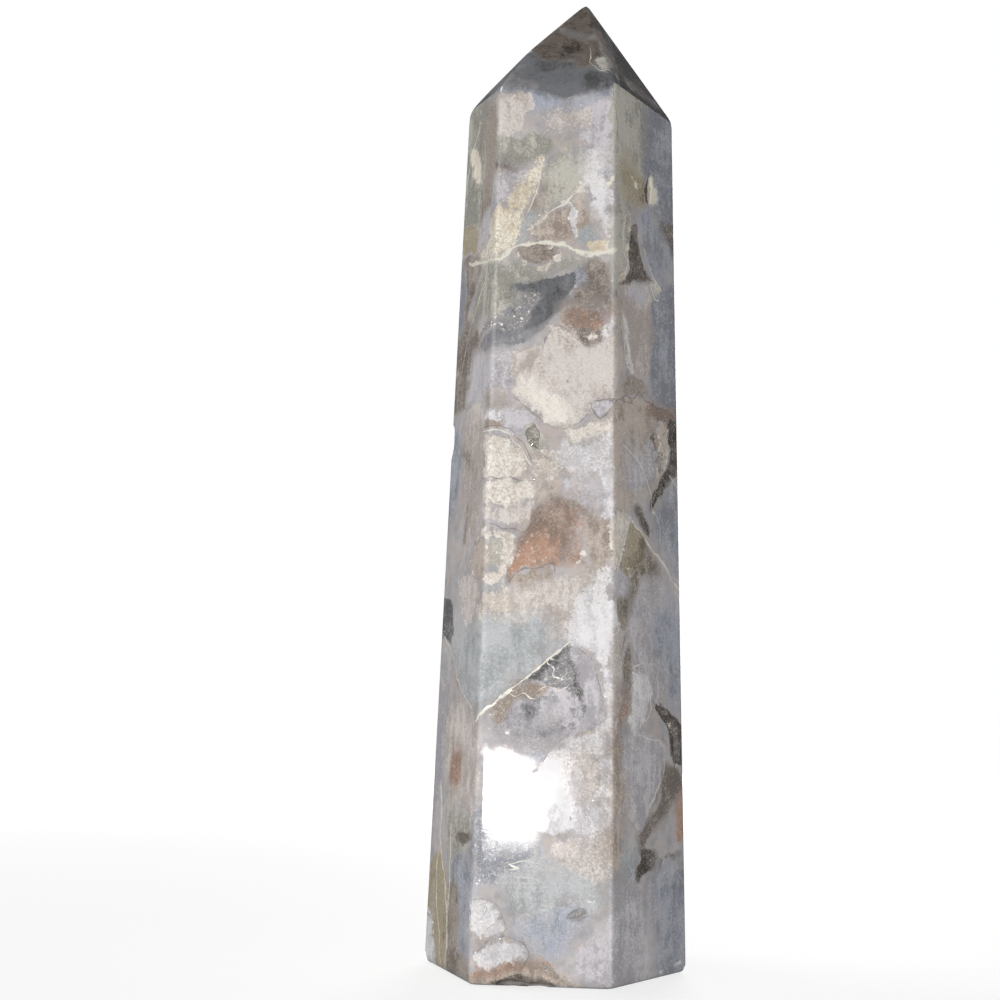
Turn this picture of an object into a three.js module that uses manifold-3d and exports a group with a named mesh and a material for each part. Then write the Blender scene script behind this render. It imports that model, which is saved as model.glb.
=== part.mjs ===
// A hand-cut tower of flower agate: six leaning side flats, a crown ground to an off-centre point, worn
// edges, and the chips, pits and crystal-lined openings that the stone keeps. Millimetres, +Z up, front to -Y.
import * as THREE from 'three';
import { mergeVertices } from 'three/addons/utils/BufferGeometryUtils.js';
import Module from 'manifold-3d';

// Driving dimensions: the height, and the place where the crown flats would meet in a sharp point
const HEIGHT = 105;
const SHARP_TIP = new THREE.Vector3(1.6, 0, 105.4);

// How deep the polish has worn each kind of edge, measured at right angles to the edge
const EDGE_WEAR = 0.09;
const BASE_EDGE_WEAR = 0.2;

// Side flats: azimuth in degrees from the front towards +X, distance from the axis at the base, lean inwards
const SIDE_FLATS = {
  front: { azimuth: 0, reach: 11.95, lean: 1.4 },
  right: { azimuth: 55, reach: 11.4, lean: 1.3 },
  backRight: { azimuth: 116, reach: 11.9, lean: 1.0 },
  back: { azimuth: 176, reach: 11.8, lean: 1.2 },
  backLeft: { azimuth: -124, reach: 11.6, lean: 1.45 },
  left: { azimuth: -67, reach: 12.05, lean: 0.95 },
};

// Crown flats: azimuth, slope from level, and how far outside the sharp tip each one passes
const CROWN_FLATS = {
  frontCrown: { azimuth: -3, slope: 55.2, past: 0 },
  rightCrown: { azimuth: 56, slope: 60.3, past: 0 },
  backRightCrown: { azimuth: 117, slope: 57.5, past: 0 },
  backCrown: { azimuth: 175, slope: 53.5, past: 0 },
  backLeftCrown: { azimuth: -122, slope: 52, past: 0 },
  leftCrown: { azimuth: -62, slope: 54.8, past: 1.8 },
  leftTip: { azimuth: -67, slope: 47, past: 0 },
};

// Openings in the flats: distance across from the flat's middle (positive to the right, seen from outside),
// height up the tower, size across, size along, depth, turn in degrees, and how broken the outline is
const LUMPY = 0.16;
const FLAKED = 0.05;
const OPENINGS = [
  { flat: 'right', across: 1.45, up: 81.6, wide: 0.9, long: 3.1, deep: 0.9, turn: -4, rough: FLAKED },
  { flat: 'right', across: 2.55, up: 54.3, wide: 1.7, long: 1.6, deep: 1.0, turn: 0, rough: LUMPY },
  { flat: 'right', across: 3.5, up: 52.2, wide: 1.7, long: 2.6, deep: 0.55, turn: -15, rough: LUMPY },
  { flat: 'right', across: 3.1, up: 26.3, wide: 1.2, long: 1.9, deep: 0.6, turn: 55, rough: LUMPY },
  { flat: 'right', across: 4.8, up: 24.8, wide: 1.3, long: 2.6, deep: 0.75, turn: 48, rough: LUMPY },
  { flat: 'right', across: 5.7, up: 22.4, wide: 1.5, long: 3.4, deep: 0.8, turn: 0, rough: LUMPY },
  { flat: 'right', across: 2.7, up: 11.3, wide: 0.5, long: 1.3, deep: 0.4, turn: -40, rough: FLAKED },
  { flat: 'front', across: -3.1, up: 53.3, wide: 1.5, long: 2.0, deep: 0.75, turn: 15, rough: LUMPY },
  { flat: 'front', across: 2.1, up: 6.9, wide: 1.9, long: 0.9, deep: 0.45, turn: 25, rough: LUMPY },
  { flat: 'left', across: -1.3, up: 84.9, wide: 2.0, long: 2.6, deep: 0.4, turn: 0, rough: FLAKED },
  { flat: 'back', across: -2.2, up: 61.5, wide: 3.2, long: 1.7, deep: 1.0, turn: 35, rough: LUMPY },
  { flat: 'back', across: -0.4, up: 63.0, wide: 1.9, long: 1.3, deep: 0.7, turn: 20, rough: LUMPY },
  { flat: 'backRight', across: 1.6, up: 33.5, wide: 1.1, long: 3.6, deep: 0.8, turn: -25, rough: LUMPY },
  { flat: 'backRight', across: 2.4, up: 30.4, wide: 1.0, long: 2.3, deep: 0.6, turn: 15, rough: LUMPY },
  { flat: 'backLeft', across: -1.8, up: 17.5, wide: 2.2, long: 1.4, deep: 0.7, turn: -20, rough: LUMPY },
];

// Chips on the edges: the two flats that meet there, the height, size across the edge, size along it, and how
// deep the scoop bites. An edge of the base is met at 'along' millimetres from the middle of the side flat.
const EDGE_CHIPS = [
  { flats: ['left', 'backLeft'], up: 54.6, wide: 2.4, long: 4.0, deep: 0.62 },
  { flats: ['frontCrown', 'leftTip'], up: 96.9, wide: 0.9, long: 1.0, deep: 0.22 },
  { flats: ['back', 'backRight'], up: 74.0, wide: 1.8, long: 3.0, deep: 0.45 },
  { flats: ['left', 'backLeft'], up: 0, wide: 2.4, long: 2.2, deep: 0.6 },
  { flats: ['right', 'backRight'], up: 0, wide: 1.6, long: 1.5, deep: 0.4 },
  { flats: ['front', 'base'], along: -3.8, wide: 3.0, long: 3.7, deep: 1.15 },
  { flats: ['front', 'base'], along: -1.3, wide: 1.9, long: 3.6, deep: 0.7 },
  { flats: ['back', 'base'], along: 2.6, wide: 2.2, long: 4.2, deep: 0.6 },
];

const STONE_COLOUR = 0xb5aca6;
const POLISHED_ROUGHNESS = 0.28;

// Working sizes that only have to be large enough, or fine enough for a chip to look broken and not moulded
const GRINDING_BLOCK = 300;
const ROUGH_BLOCK = 60;
const LUMP_DETAIL = 3;
const LUMP_WAVES = 5;
const SAME_POINT = 1e-5;

const { Quaternion, Vector3 } = THREE;
const UP = new Vector3(0, 0, 1);
const radians = THREE.MathUtils.degToRad;

const wasm = await Module();
wasm.setup();

// A closed three.js geometry as a solid that can be joined and cut
function solidFrom(geometry) {
  const bare = geometry.clone();
  bare.deleteAttribute('normal');
  bare.deleteAttribute('uv');
  const merged = mergeVertices(bare);
  return new wasm.Manifold(new wasm.Mesh({
    numProp: 3,
    vertProperties: new Float32Array(merged.attributes.position.array),
    triVerts: new Uint32Array(merged.index.array),
  }));
}

// A solid back as a three.js geometry with flat-shaded faces
function geometryFrom(solid) {
  const mesh = solid.getMesh();
  const geometry = new THREE.BufferGeometry();
  geometry.setAttribute('position', new THREE.BufferAttribute(mesh.vertProperties, 3));
  geometry.setIndex(new THREE.BufferAttribute(mesh.triVerts, 1));
  geometry.computeVertexNormals();
  return geometry;
}

// The outward normal of a flat that faces an azimuth and looks upwards by some degrees
function facing(azimuth, upwards) {
  const level = Math.cos(radians(upwards));
  const turn = radians(azimuth);
  return new Vector3(Math.sin(turn) * level, -Math.cos(turn) * level, Math.sin(radians(upwards)));
}

// Every flat of the stone as a plane: its outward normal, and its distance from the origin along that normal
function allFlats() {
  const flats = { base: { normal: new Vector3(0, 0, -1), offset: 0 } };
  for (const [name, { azimuth, reach, lean }] of Object.entries(SIDE_FLATS)) {
    flats[name] = { normal: facing(azimuth, lean), offset: reach * Math.cos(radians(lean)) };
  }
  for (const [name, { azimuth, slope, past }] of Object.entries(CROWN_FLATS)) {
    const normal = facing(azimuth, 90 - slope);
    flats[name] = { normal, offset: normal.dot(SHARP_TIP) + past };
  }
  return flats;
}

// The point where three planes meet, or null where two of them are parallel
function meetingPoint(a, b, c) {
  const bc = new Vector3().crossVectors(b.normal, c.normal);
  const determinant = a.normal.dot(bc);
  if (Math.abs(determinant) < SAME_POINT) return null;
  return bc.multiplyScalar(a.offset)
    .addScaledVector(new Vector3().crossVectors(c.normal, a.normal), b.offset)
    .addScaledVector(new Vector3().crossVectors(a.normal, b.normal), c.offset)
    .divideScalar(determinant);
}

// Every pair of flats that share an edge of the unworn stone, with one point of that edge
function sharedEdges(flats) {
  const names = Object.keys(flats);
  const planes = Object.values(flats);
  const inside = (point) => planes.every(({ normal, offset }) => normal.dot(point) < offset + SAME_POINT);
  const edges = [];
  names.forEach((first, i) => names.slice(i + 1).forEach((second) => {
    const ends = names
      .filter((third) => third !== first && third !== second)
      .map((third) => meetingPoint(flats[first], flats[second], flats[third]))
      .filter((point) => point && inside(point));
    const apart = ends.find((point) => point.distanceTo(ends[0]) > EDGE_WEAR);
    if (apart) edges.push({ first, second, point: ends[0] });
  }));
  return edges;
}

// Grinding away everything outside one plane
function grind(stone, { normal, offset }) {
  const block = new THREE.BoxGeometry(GRINDING_BLOCK, GRINDING_BLOCK, GRINDING_BLOCK)
    .translate(0, 0, GRINDING_BLOCK / 2 + offset)
    .applyQuaternion(new Quaternion().setFromUnitVectors(UP, normal));
  return stone.subtract(solidFrom(block));
}

// The polished stone before it was chipped: each flat, then the narrow worn strip along each edge and the tip
function groundStone(flats) {
  const rough = new THREE.BoxGeometry(ROUGH_BLOCK, ROUGH_BLOCK, 2 * HEIGHT).translate(0, 0, HEIGHT / 2);
  let stone = solidFrom(rough);
  for (const flat of Object.values(flats)) stone = grind(stone, flat);
  for (const { first, second, point } of sharedEdges(flats)) {
    const wear = first === 'base' ? BASE_EDGE_WEAR : EDGE_WEAR;
    const normal = flats[first].normal.clone().add(flats[second].normal).normalize();
    stone = grind(stone, { normal, offset: normal.dot(point) - wear });
  }
  return grind(stone, { normal: UP, offset: HEIGHT });
}

// Repeatable random numbers from 0 to 1
function seeded(seed) {
  let state = seed;
  return () => {
    state = (state * 16807) % 2147483647;
    return state / 2147483647;
  };
}

// A round lump of broken outline, which bites a chip or a crystal-lined pocket out of the stone
function lump({ wide, long, deep, rough }, seed) {
  const random = seeded(seed);
  const waves = Array.from({ length: LUMP_WAVES }, () => ({
    direction: new Vector3(random() - 0.5, random() - 0.5, random() - 0.5).normalize(),
    rate: 3 + 4 * random(),
    phase: 2 * Math.PI * random(),
  }));
  const geometry = new THREE.IcosahedronGeometry(1, LUMP_DETAIL);
  const points = geometry.attributes.position;
  const point = new Vector3();
  for (let i = 0; i < points.count; i += 1) {
    point.fromBufferAttribute(points, i);
    const swells = waves.map((wave) => Math.sin(wave.rate * point.dot(wave.direction) + wave.phase));
    point.multiplyScalar(1 + rough * swells.reduce((sum, swell) => sum + swell) / Math.sqrt(LUMP_WAVES));
    points.setXYZ(i, point.x * wide / 2, point.y * long / 2, point.z * deep);
  }
  return geometry;
}

// A frame on the surface, with its X across, its Y along and its Z out of the stone
function surfaceFrame(origin, along, outward) {
  const across = new Vector3().crossVectors(along, outward).normalize();
  const squared = new Vector3().crossVectors(outward, across);
  return new THREE.Matrix4().makeBasis(across, squared, outward).setPosition(origin);
}

// The upright plane that stands a given distance to one side of the middle of a side flat
function besideMiddle(name, distance) {
  const turn = radians(SIDE_FLATS[name].azimuth);
  return { normal: new Vector3(Math.cos(turn), Math.sin(turn), 0), offset: distance };
}

const levelAt = (height) => ({ normal: UP, offset: height });

function openingTool(opening, index, flats) {
  const { normal } = flats[opening.flat];
  const sideways = besideMiddle(opening.flat, opening.across);
  const origin = meetingPoint(flats[opening.flat], sideways, levelAt(opening.up));
  const along = new Vector3().crossVectors(normal, sideways.normal);
  return lump(opening, index + 1)
    .rotateZ(radians(opening.turn))
    .applyMatrix4(surfaceFrame(origin, along, normal));
}

function chipTool(chip, index, flats) {
  const [first, second] = chip.flats.map((name) => flats[name]);
  const outward = first.normal.clone().add(second.normal).normalize();
  const along = new Vector3().crossVectors(first.normal, second.normal).normalize();
  const crossing = 'up' in chip ? levelAt(chip.up) : besideMiddle(chip.flats[0], chip.along);
  return lump({ ...chip, rough: FLAKED }, OPENINGS.length + index + 1)
    .applyMatrix4(surfaceFrame(meetingPoint(first, second, crossing), along, outward));
}

// The finished stone, moved so that the middle of its box stands on the origin
function towerGeometry() {
  const flats = allFlats();
  let stone = groundStone(flats);
  OPENINGS.forEach((opening, index) => {
    stone = stone.subtract(solidFrom(openingTool(opening, index, flats)));
  });
  EDGE_CHIPS.forEach((chip, index) => {
    stone = stone.subtract(solidFrom(chipTool(chip, index, flats)));
  });
  const geometry = geometryFrom(stone);
  geometry.computeBoundingBox();
  const middle = geometry.boundingBox.getCenter(new Vector3());
  return geometry.translate(-middle.x, -middle.y, 0);
}

const tower = new THREE.Mesh(
  towerGeometry(),
  new THREE.MeshStandardMaterial({ color: STONE_COLOUR, roughness: POLISHED_ROUGHNESS, metalness: 0 }),
);
tower.name = 'tower';

const object = new THREE.Group();
object.add(tower);

export default object;
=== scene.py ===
"""Looks of a flower agate tower: the polished stone, the crystals in its openings, and a plain studio.

The stone is shaped by the same flats, openings and chips as the solid that it replaces. Lengths are in
millimetres until a mesh is made. Outlines of the markings that show from the front are places in the
photograph's 1000 by 1000 frame, cast on to the flats through the camera; the hidden sides are grown from
seeded plumes. Each mineral reaches the material as a distance to its outline, never as a colour.
"""

from __future__ import annotations

import logging
import math
import random
from dataclasses import dataclass, field
from enum import Enum
from typing import Any, Iterable, Sequence, Union

import bmesh
import bpy
import numpy as np
from mathutils import Matrix, Vector, noise


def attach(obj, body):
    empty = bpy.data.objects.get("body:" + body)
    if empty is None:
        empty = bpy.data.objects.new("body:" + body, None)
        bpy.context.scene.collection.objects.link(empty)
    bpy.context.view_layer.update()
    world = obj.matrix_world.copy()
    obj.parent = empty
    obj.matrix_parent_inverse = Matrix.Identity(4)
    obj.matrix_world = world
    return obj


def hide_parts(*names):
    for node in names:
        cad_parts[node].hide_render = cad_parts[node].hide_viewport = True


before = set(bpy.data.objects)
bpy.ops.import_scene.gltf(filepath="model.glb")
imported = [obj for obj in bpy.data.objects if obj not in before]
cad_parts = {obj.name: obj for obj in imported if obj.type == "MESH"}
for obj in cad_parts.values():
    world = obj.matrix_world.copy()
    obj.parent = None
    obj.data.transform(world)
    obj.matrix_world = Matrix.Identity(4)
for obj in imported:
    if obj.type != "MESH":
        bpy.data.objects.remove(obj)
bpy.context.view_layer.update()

log = logging.getLogger("agate_tower")

MM = 0.001
PHOTO_SIZE = 1000
SENSOR_MM = 36.0
NODE = "tower"
BODY = "root"
NOISE_SEED = 5

Pixel = tuple[float, float]
Span = tuple[float, float]


def unit(vector: np.ndarray) -> np.ndarray:
    """The vector at length one."""
    return vector / np.linalg.norm(vector)


def linear(red: int, green: int, blue: int) -> tuple[float, float, float, float]:
    """A colour as it is seen, from 0 to 255, as the linear values that a shader takes.

    Args:
        red: Red as seen on a screen.
        green: Green as seen on a screen.
        blue: Blue as seen on a screen.

    Returns:
        Linear red, green, blue and an alpha of one.
    """
    seen = [channel / 255 for channel in (red, green, blue)]
    return tuple(c / 12.92 if c <= 0.04045 else ((c + 0.055) / 1.055) ** 2.4 for c in seen) + (1.0,)


# The shape of the stone


@dataclass(frozen=True)
class Flat:
    """One ground flat of the stone, as a plane that faces outwards.

    Attributes:
        azimuth: Degrees from the front towards +X.
        upwards: Degrees by which the flat looks up.
        offset: Distance from the origin along the normal.
    """

    azimuth: float
    upwards: float
    offset: float

    @property
    def normal(self) -> np.ndarray:
        """The outward normal."""
        turn, tilt = math.radians(self.azimuth), math.radians(self.upwards)
        return np.array([math.sin(turn) * math.cos(tilt), -math.cos(turn) * math.cos(tilt), math.sin(tilt)])

    @property
    def sideways(self) -> np.ndarray:
        """The level direction across the flat, to the right seen from outside."""
        turn = math.radians(self.azimuth)
        return np.array([math.cos(turn), math.sin(turn), 0.0])


SHARP_TIP = np.array([1.6, 0.0, 105.4])
HEIGHT = 105.0
PLAN_CENTRE = np.array([0.042, 0.134, 0.0])
EDGE_SHARPNESS = 8.0
BASE_BEVEL = 0.2


def side_flat(azimuth: float, reach: float, lean: float) -> Flat:
    """A flat of the shaft, from its distance from the axis at the base and its lean."""
    return Flat(azimuth, lean, reach * math.cos(math.radians(lean)))


def crown_flat(azimuth: float, slope: float, past: float = 0.0) -> Flat:
    """A flat of the crown, from its slope and how far outside the sharp tip it passes."""
    through_tip = Flat(azimuth, 90 - slope, 0.0)
    return Flat(azimuth, 90 - slope, float(through_tip.normal @ SHARP_TIP) + past)


SIDES = {
    "front": side_flat(0, 11.95, 1.4),
    "right": side_flat(55, 11.4, 1.3),
    "back_right": side_flat(116, 11.9, 1.0),
    "back": side_flat(176, 11.8, 1.2),
    "back_left": side_flat(-124, 11.6, 1.45),
    "left": side_flat(-67, 12.05, 0.95),
}
CROWN = {
    "front_crown": crown_flat(-3, 55.2),
    "right_crown": crown_flat(56, 60.3),
    "back_right_crown": crown_flat(117, 57.5),
    "back_crown": crown_flat(175, 53.5),
    "back_left_crown": crown_flat(-122, 52),
    "left_crown": crown_flat(-62, 54.8, 1.8),
    "left_tip": crown_flat(-67, 47),
}
BASE = Flat(0, -90, 0)

SIDE_COUNT = len(SIDES)
FLAT_COUNT = SIDE_COUNT + len(CROWN)
SIDE_PLANES = slice(0, SIDE_COUNT)
CROWN_PLANES = slice(SIDE_COUNT, FLAT_COUNT)
FIRST_SIDE_COUNTED_BACK = 4
MID_HEIGHT = 45.0
UPRIGHT = np.array([0.0, 0.0, 1.0])


def meeting_point(normals: Sequence[np.ndarray], offsets: Sequence[float]) -> np.ndarray:
    """The point where three planes meet."""
    return np.linalg.solve(np.array(normals), np.array(offsets))


@dataclass
class Shape:
    """The ground stone before it was chipped: where its surface is, and how it is laid flat.

    Attributes:
        sides: The side flats, in order round the stone.
        crown: The crown's flats.
        normals: Outward normals of these, of the base and of the worn strips round it.
        offsets: How far each of them is from the origin.
    """

    sides: list[Flat] = field(default_factory=lambda: list(SIDES.values()))
    crown: list[Flat] = field(default_factory=lambda: list(CROWN.values()))

    def __post_init__(self) -> None:
        """Gathers the planes, with the worn strips round the base among them."""
        flats = [*self.sides, *self.crown, BASE]
        self.normals = np.array([flat.normal for flat in flats])
        self.offsets = np.array([flat.offset for flat in flats])
        for flat in self.sides:
            normal = unit(flat.normal + BASE.normal)
            foot = meeting_point([flat.normal, BASE.normal, flat.sideways], [flat.offset, BASE.offset, 0.0])
            self.normals = np.vstack([self.normals, normal])
            self.offsets = np.append(self.offsets, normal @ foot - BASE_BEVEL)

    def settle(self, points: np.ndarray, steps: int = 4) -> np.ndarray:
        """Moves points on to the stone's surface, whose edges are softly rounded.

        Args:
            points: Places near the surface.
            steps: How many times each point is moved along the slope of the distance.

        Returns:
            The places on the surface.
        """
        for _ in range(steps):
            apart = points @ self.normals.T - self.offsets
            nearest = apart.max(axis=1, keepdims=True)
            weights = np.exp(EDGE_SHARPNESS * (apart - nearest))
            total = weights.sum(axis=1, keepdims=True)
            distance = nearest[:, 0] + np.log(total[:, 0]) / EDGE_SHARPNESS
            slope = (weights / total) @ self.normals
            points = points - slope * (distance / (slope**2).sum(axis=1))[:, None]
        return points

    def corner(self, index: int, height: np.ndarray) -> np.ndarray:
        """The plan place, at each height, of the edge between a side and the next one round.

        Args:
            index: The side's number.
            height: One or more heights.

        Returns:
            A row of X and Y for each height.
        """
        first, second = self.sides[index % SIDE_COUNT], self.sides[(index + 1) % SIDE_COUNT]
        rows = np.array([first.normal, second.normal])
        levels = np.array([first.offset, second.offset])[:, None] - rows[:, 2:3] * np.atleast_1d(height)
        return np.linalg.solve(rows[:, :2], levels).T

    def side_span(self, index: int, height: np.ndarray) -> tuple[np.ndarray, np.ndarray]:
        """Where a side starts and ends, measured across it, at each height."""
        sideways = self.sides[index].sideways[:2]
        return self.corner(index - 1, height) @ sideways, self.corner(index, height) @ sideways

    def girth(self, height: np.ndarray) -> np.ndarray:
        """The length once round the shaft at each height."""
        spans = [self.side_span(index, height) for index in range(SIDE_COUNT)]
        return sum(end - start for start, end in spans)

    def unroll(self, points: np.ndarray, side: int | None = None) -> np.ndarray:
        """Lays places on the shaft flat: millimetres round from the front's left edge, and height.

        The left side and the one behind it count backwards from that edge, so that the seam of the
        chart is at the back.

        Args:
            points: Places on the shaft.
            side: The number of the side that they all belong to, or None to take the nearest for each.

        Returns:
            Two columns, the way round and the height.
        """
        apart = points @ self.normals[SIDE_PLANES].T - self.offsets[SIDE_PLANES]
        sides = apart.argmax(axis=1) if side is None else np.full(len(points), side)
        height = points[:, 2]
        around = np.zeros(len(points))
        start_of = np.zeros(len(points))
        for index in range(SIDE_COUNT):
            start, end = self.side_span(index, height)
            here = sides == index
            across = points @ self.sides[index].sideways
            around[here] = (start_of + across - start)[here]
            start_of = start_of + end - start
        behind = sides >= FIRST_SIDE_COUNTED_BACK
        around[behind] -= self.girth(height)[behind]
        return np.column_stack([around, height])

    def ray_hit(self, origin: np.ndarray, ray: np.ndarray, planes: slice) -> tuple[np.ndarray, int]:
        """Where a line of sight goes in through some of the flats, drawn out past their edges.

        Args:
            origin: The eye.
            ray: The direction of sight.
            planes: Which flats count.

        Returns:
            The place, and the number of the flat among all of them.
        """
        facing = self.normals[planes] @ ray
        reach = (self.offsets[planes] - self.normals[planes] @ origin) / facing
        first = int(np.where(facing < 0, reach, -np.inf).argmax())
        return origin + ray * reach[first], first + planes.start


@dataclass(frozen=True)
class Eye:
    """The photograph's viewpoint, in the stone's own axes, and the lens that took it.

    Attributes:
        distance: How far in front of the stone's axis the lens stands, in millimetres.
        height: Its height above the base.
        focal_px: Its focal length in pixels of the photograph.
        pitch: Degrees by which it looks up.
        yaw: Degrees by which it looks to the right; below zero is to the left.
        roll: Degrees by which its right side is lowered; below zero it is raised.
    """

    distance: float = 152.2
    height: float = 25.4
    focal_px: float = 1430.0
    pitch: float = 8.54
    yaw: float = -2.54
    roll: float = -1.49

    @property
    def place(self) -> np.ndarray:
        """Where the lens stands."""
        return np.array([0.0, -self.distance, self.height])

    @property
    def axes(self) -> tuple[np.ndarray, np.ndarray, np.ndarray]:
        """The picture's right, its up, and the direction of sight.

        Returns:
            Three directions in the stone's own axes.
        """
        pitch, yaw, roll = (math.radians(angle) for angle in (self.pitch, self.yaw, self.roll))
        sight = np.array([math.sin(yaw) * math.cos(pitch), math.cos(yaw) * math.cos(pitch), math.sin(pitch)])
        level = np.array([math.cos(yaw), -math.sin(yaw), 0.0])
        upright = np.cross(level, sight)
        right = math.cos(roll) * level - math.sin(roll) * upright
        up = math.sin(roll) * level + math.cos(roll) * upright
        return right, up, sight

    def ray(self, pixel: Pixel) -> np.ndarray:
        """The direction in which a place of the photograph is seen.

        Args:
            pixel: The place.

        Returns:
            The direction, at length one.
        """
        right, up, sight = self.axes
        across, down = (value - PHOTO_SIZE / 2 for value in pixel)
        return unit(sight + right * across / self.focal_px - up * down / self.focal_px)


# Openings and chips


@dataclass(frozen=True)
class Wall:
    """How the stone broke.

    Attributes:
        ragged: Height of the outline's waves, as a share of its radius.
        steep: Exponent of the floor's fall; the lower it is, the steeper the floor starts.
    """

    ragged: float
    steep: float


class Break(Enum):
    """What a break in the surface is lined with."""

    CRYSTALS = Wall(ragged=0.16, steep=0.38)
    FLAKED = Wall(ragged=0.06, steep=0.5)


RAGGED_RATES = (2, 3, 5, 8)
RAGGED_FADE = 0.6
RAGGED_TURN = 1.7
SCOOP_HEIGHT = 1.6


@dataclass(frozen=True)
class Scoop:
    """A rounded bite out of the stone, in a frame of its own.

    Attributes:
        origin: The middle of its mouth.
        across: The direction of its width.
        along: The direction of its length.
        outward: The direction out of the stone.
        wide: Its width in millimetres.
        long: Its length.
        deep: Its depth.
        lining: How the stone broke there.
        seed: Turns its broken outline.
    """

    origin: np.ndarray
    across: np.ndarray
    along: np.ndarray
    outward: np.ndarray
    wide: float
    long: float
    deep: float
    lining: Break
    seed: int

    def local(self, points: np.ndarray) -> np.ndarray:
        """Places in the scoop's frame, with its rim at a distance of one.

        Args:
            points: Places in the stone's own axes.

        Returns:
            Columns across, along and outwards.
        """
        offset = points - self.origin
        return np.column_stack(
            [
                offset @ self.across / (self.wide / 2),
                offset @ self.along / (self.long / 2),
                offset @ self.outward / self.deep,
            ]
        )

    def ragged_radius(self, local: np.ndarray) -> np.ndarray:
        """How far out each place is, with a broken outline.

        Args:
            local: Places in the scoop's frame.

        Returns:
            Distances from the scoop's middle, one at the outline.
        """
        angle = np.arctan2(local[:, 1], local[:, 0])
        turned = ((rate, angle * rate + self.seed * rate * RAGGED_TURN) for rate in RAGGED_RATES)
        waves = sum(np.sin(turn) / rate**RAGGED_FADE for rate, turn in turned)
        return np.hypot(local[:, 0], local[:, 1]) * (1 + self.lining.value.ragged * waves)

    def sink(self, points: np.ndarray) -> tuple[np.ndarray, np.ndarray]:
        """Pushes the places inside the scoop down to its floor.

        Args:
            points: Places on the surface.

        Returns:
            The moved places, and from 0 to 1 how deep in the scoop each one lies.
        """
        local = self.local(points)
        radius = self.ragged_radius(local)
        floor = -np.clip(1 - radius**2, 0, None) ** self.lining.value.steep
        moved = (radius < 1) & (local[:, 2] > floor) & (np.abs(local[:, 2]) < SCOOP_HEIGHT)
        depth = np.where(moved, -floor, 0.0)
        fall = np.where(moved, (local[:, 2] - floor) * self.deep, 0.0)
        return points - self.outward * fall[:, None], depth


@dataclass(frozen=True)
class Opening:
    """A hollow in a side flat.

    Attributes:
        flat: The side's name.
        across: How far right of the axis it is, seen from outside, in millimetres.
        up: Its height above the base.
        wide: Its width.
        long: Its length.
        deep: Its depth.
        turn: Degrees by which its upper end leans to the left, seen from outside.
        lining: How the stone broke there.
    """

    flat: str
    across: float
    up: float
    wide: float
    long: float
    deep: float
    turn: float
    lining: Break = Break.CRYSTALS

    def scoop(self, seed: int) -> Scoop:
        """The bite that makes this opening.

        Args:
            seed: Turns its broken outline.

        Returns:
            The bite.
        """
        flat = SIDES[self.flat]
        planes = [flat.normal, flat.sideways, UPRIGHT]
        origin = meeting_point(planes, [flat.offset, self.across, self.up])
        upslope = np.cross(flat.normal, flat.sideways)
        turn = math.radians(self.turn)
        across = math.cos(turn) * flat.sideways + math.sin(turn) * upslope
        along = -math.sin(turn) * flat.sideways + math.cos(turn) * upslope
        return Scoop(origin, across, along, flat.normal, self.wide, self.long, self.deep, self.lining, seed)


@dataclass(frozen=True)
class Chip:
    """A flake lost from an edge.

    Attributes:
        flats: The two flats that meet in the edge.
        wide: Its width across the edge, in millimetres.
        long: Its length along the edge.
        deep: Its depth.
        up: Its height, or None on an edge of the base.
        along: On an edge of the base, how far right of the axis it is, seen from outside.
    """

    flats: tuple[Flat, Flat]
    wide: float
    long: float
    deep: float
    up: float | None = None
    along: float = 0.0

    def scoop(self, seed: int) -> Scoop:
        """The bite that makes this chip.

        Args:
            seed: Turns its broken outline.

        Returns:
            The bite.
        """
        first, second = self.flats
        outward = unit(first.normal + second.normal)
        along = unit(np.cross(first.normal, second.normal))
        level, reach = (first.sideways, self.along) if self.up is None else (UPRIGHT, self.up)
        planes = [first.normal, second.normal, level]
        origin = meeting_point(planes, [first.offset, second.offset, reach])
        across = np.cross(along, outward)
        return Scoop(origin, across, along, outward, self.wide, self.long, self.deep, Break.FLAKED, seed)


OPENINGS = (
    Opening("right", 1.45, 81.6, 0.9, 3.1, 0.9, -4, Break.FLAKED),
    Opening("right", 2.55, 54.3, 1.7, 1.6, 1.0, 0),
    Opening("right", 3.5, 52.2, 1.7, 2.6, 0.55, -15),
    Opening("right", 3.1, 26.3, 1.2, 1.9, 0.6, 55),
    Opening("right", 4.8, 24.8, 1.3, 2.6, 0.75, 48),
    Opening("right", 5.7, 22.4, 1.5, 3.4, 0.8, 0),
    Opening("right", 2.7, 11.3, 0.5, 1.3, 0.4, -40, Break.FLAKED),
    Opening("front", -3.1, 53.3, 1.5, 2.0, 0.75, 15),
    Opening("front", 2.1, 6.9, 1.8, 0.8, 0.3, 25),
    Opening("left", -1.3, 84.9, 2.0, 2.6, 0.4, 0, Break.FLAKED),
    Opening("back", -2.2, 61.5, 3.2, 1.7, 1.0, 35),
    Opening("back", -0.4, 63.0, 1.9, 1.3, 0.7, 20),
    Opening("back_right", 1.6, 33.5, 1.1, 3.6, 0.8, -25),
    Opening("back_right", 2.4, 30.4, 1.0, 2.3, 0.6, 15),
    Opening("back_left", -1.8, 17.5, 2.2, 1.4, 0.7, -20),
)
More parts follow.
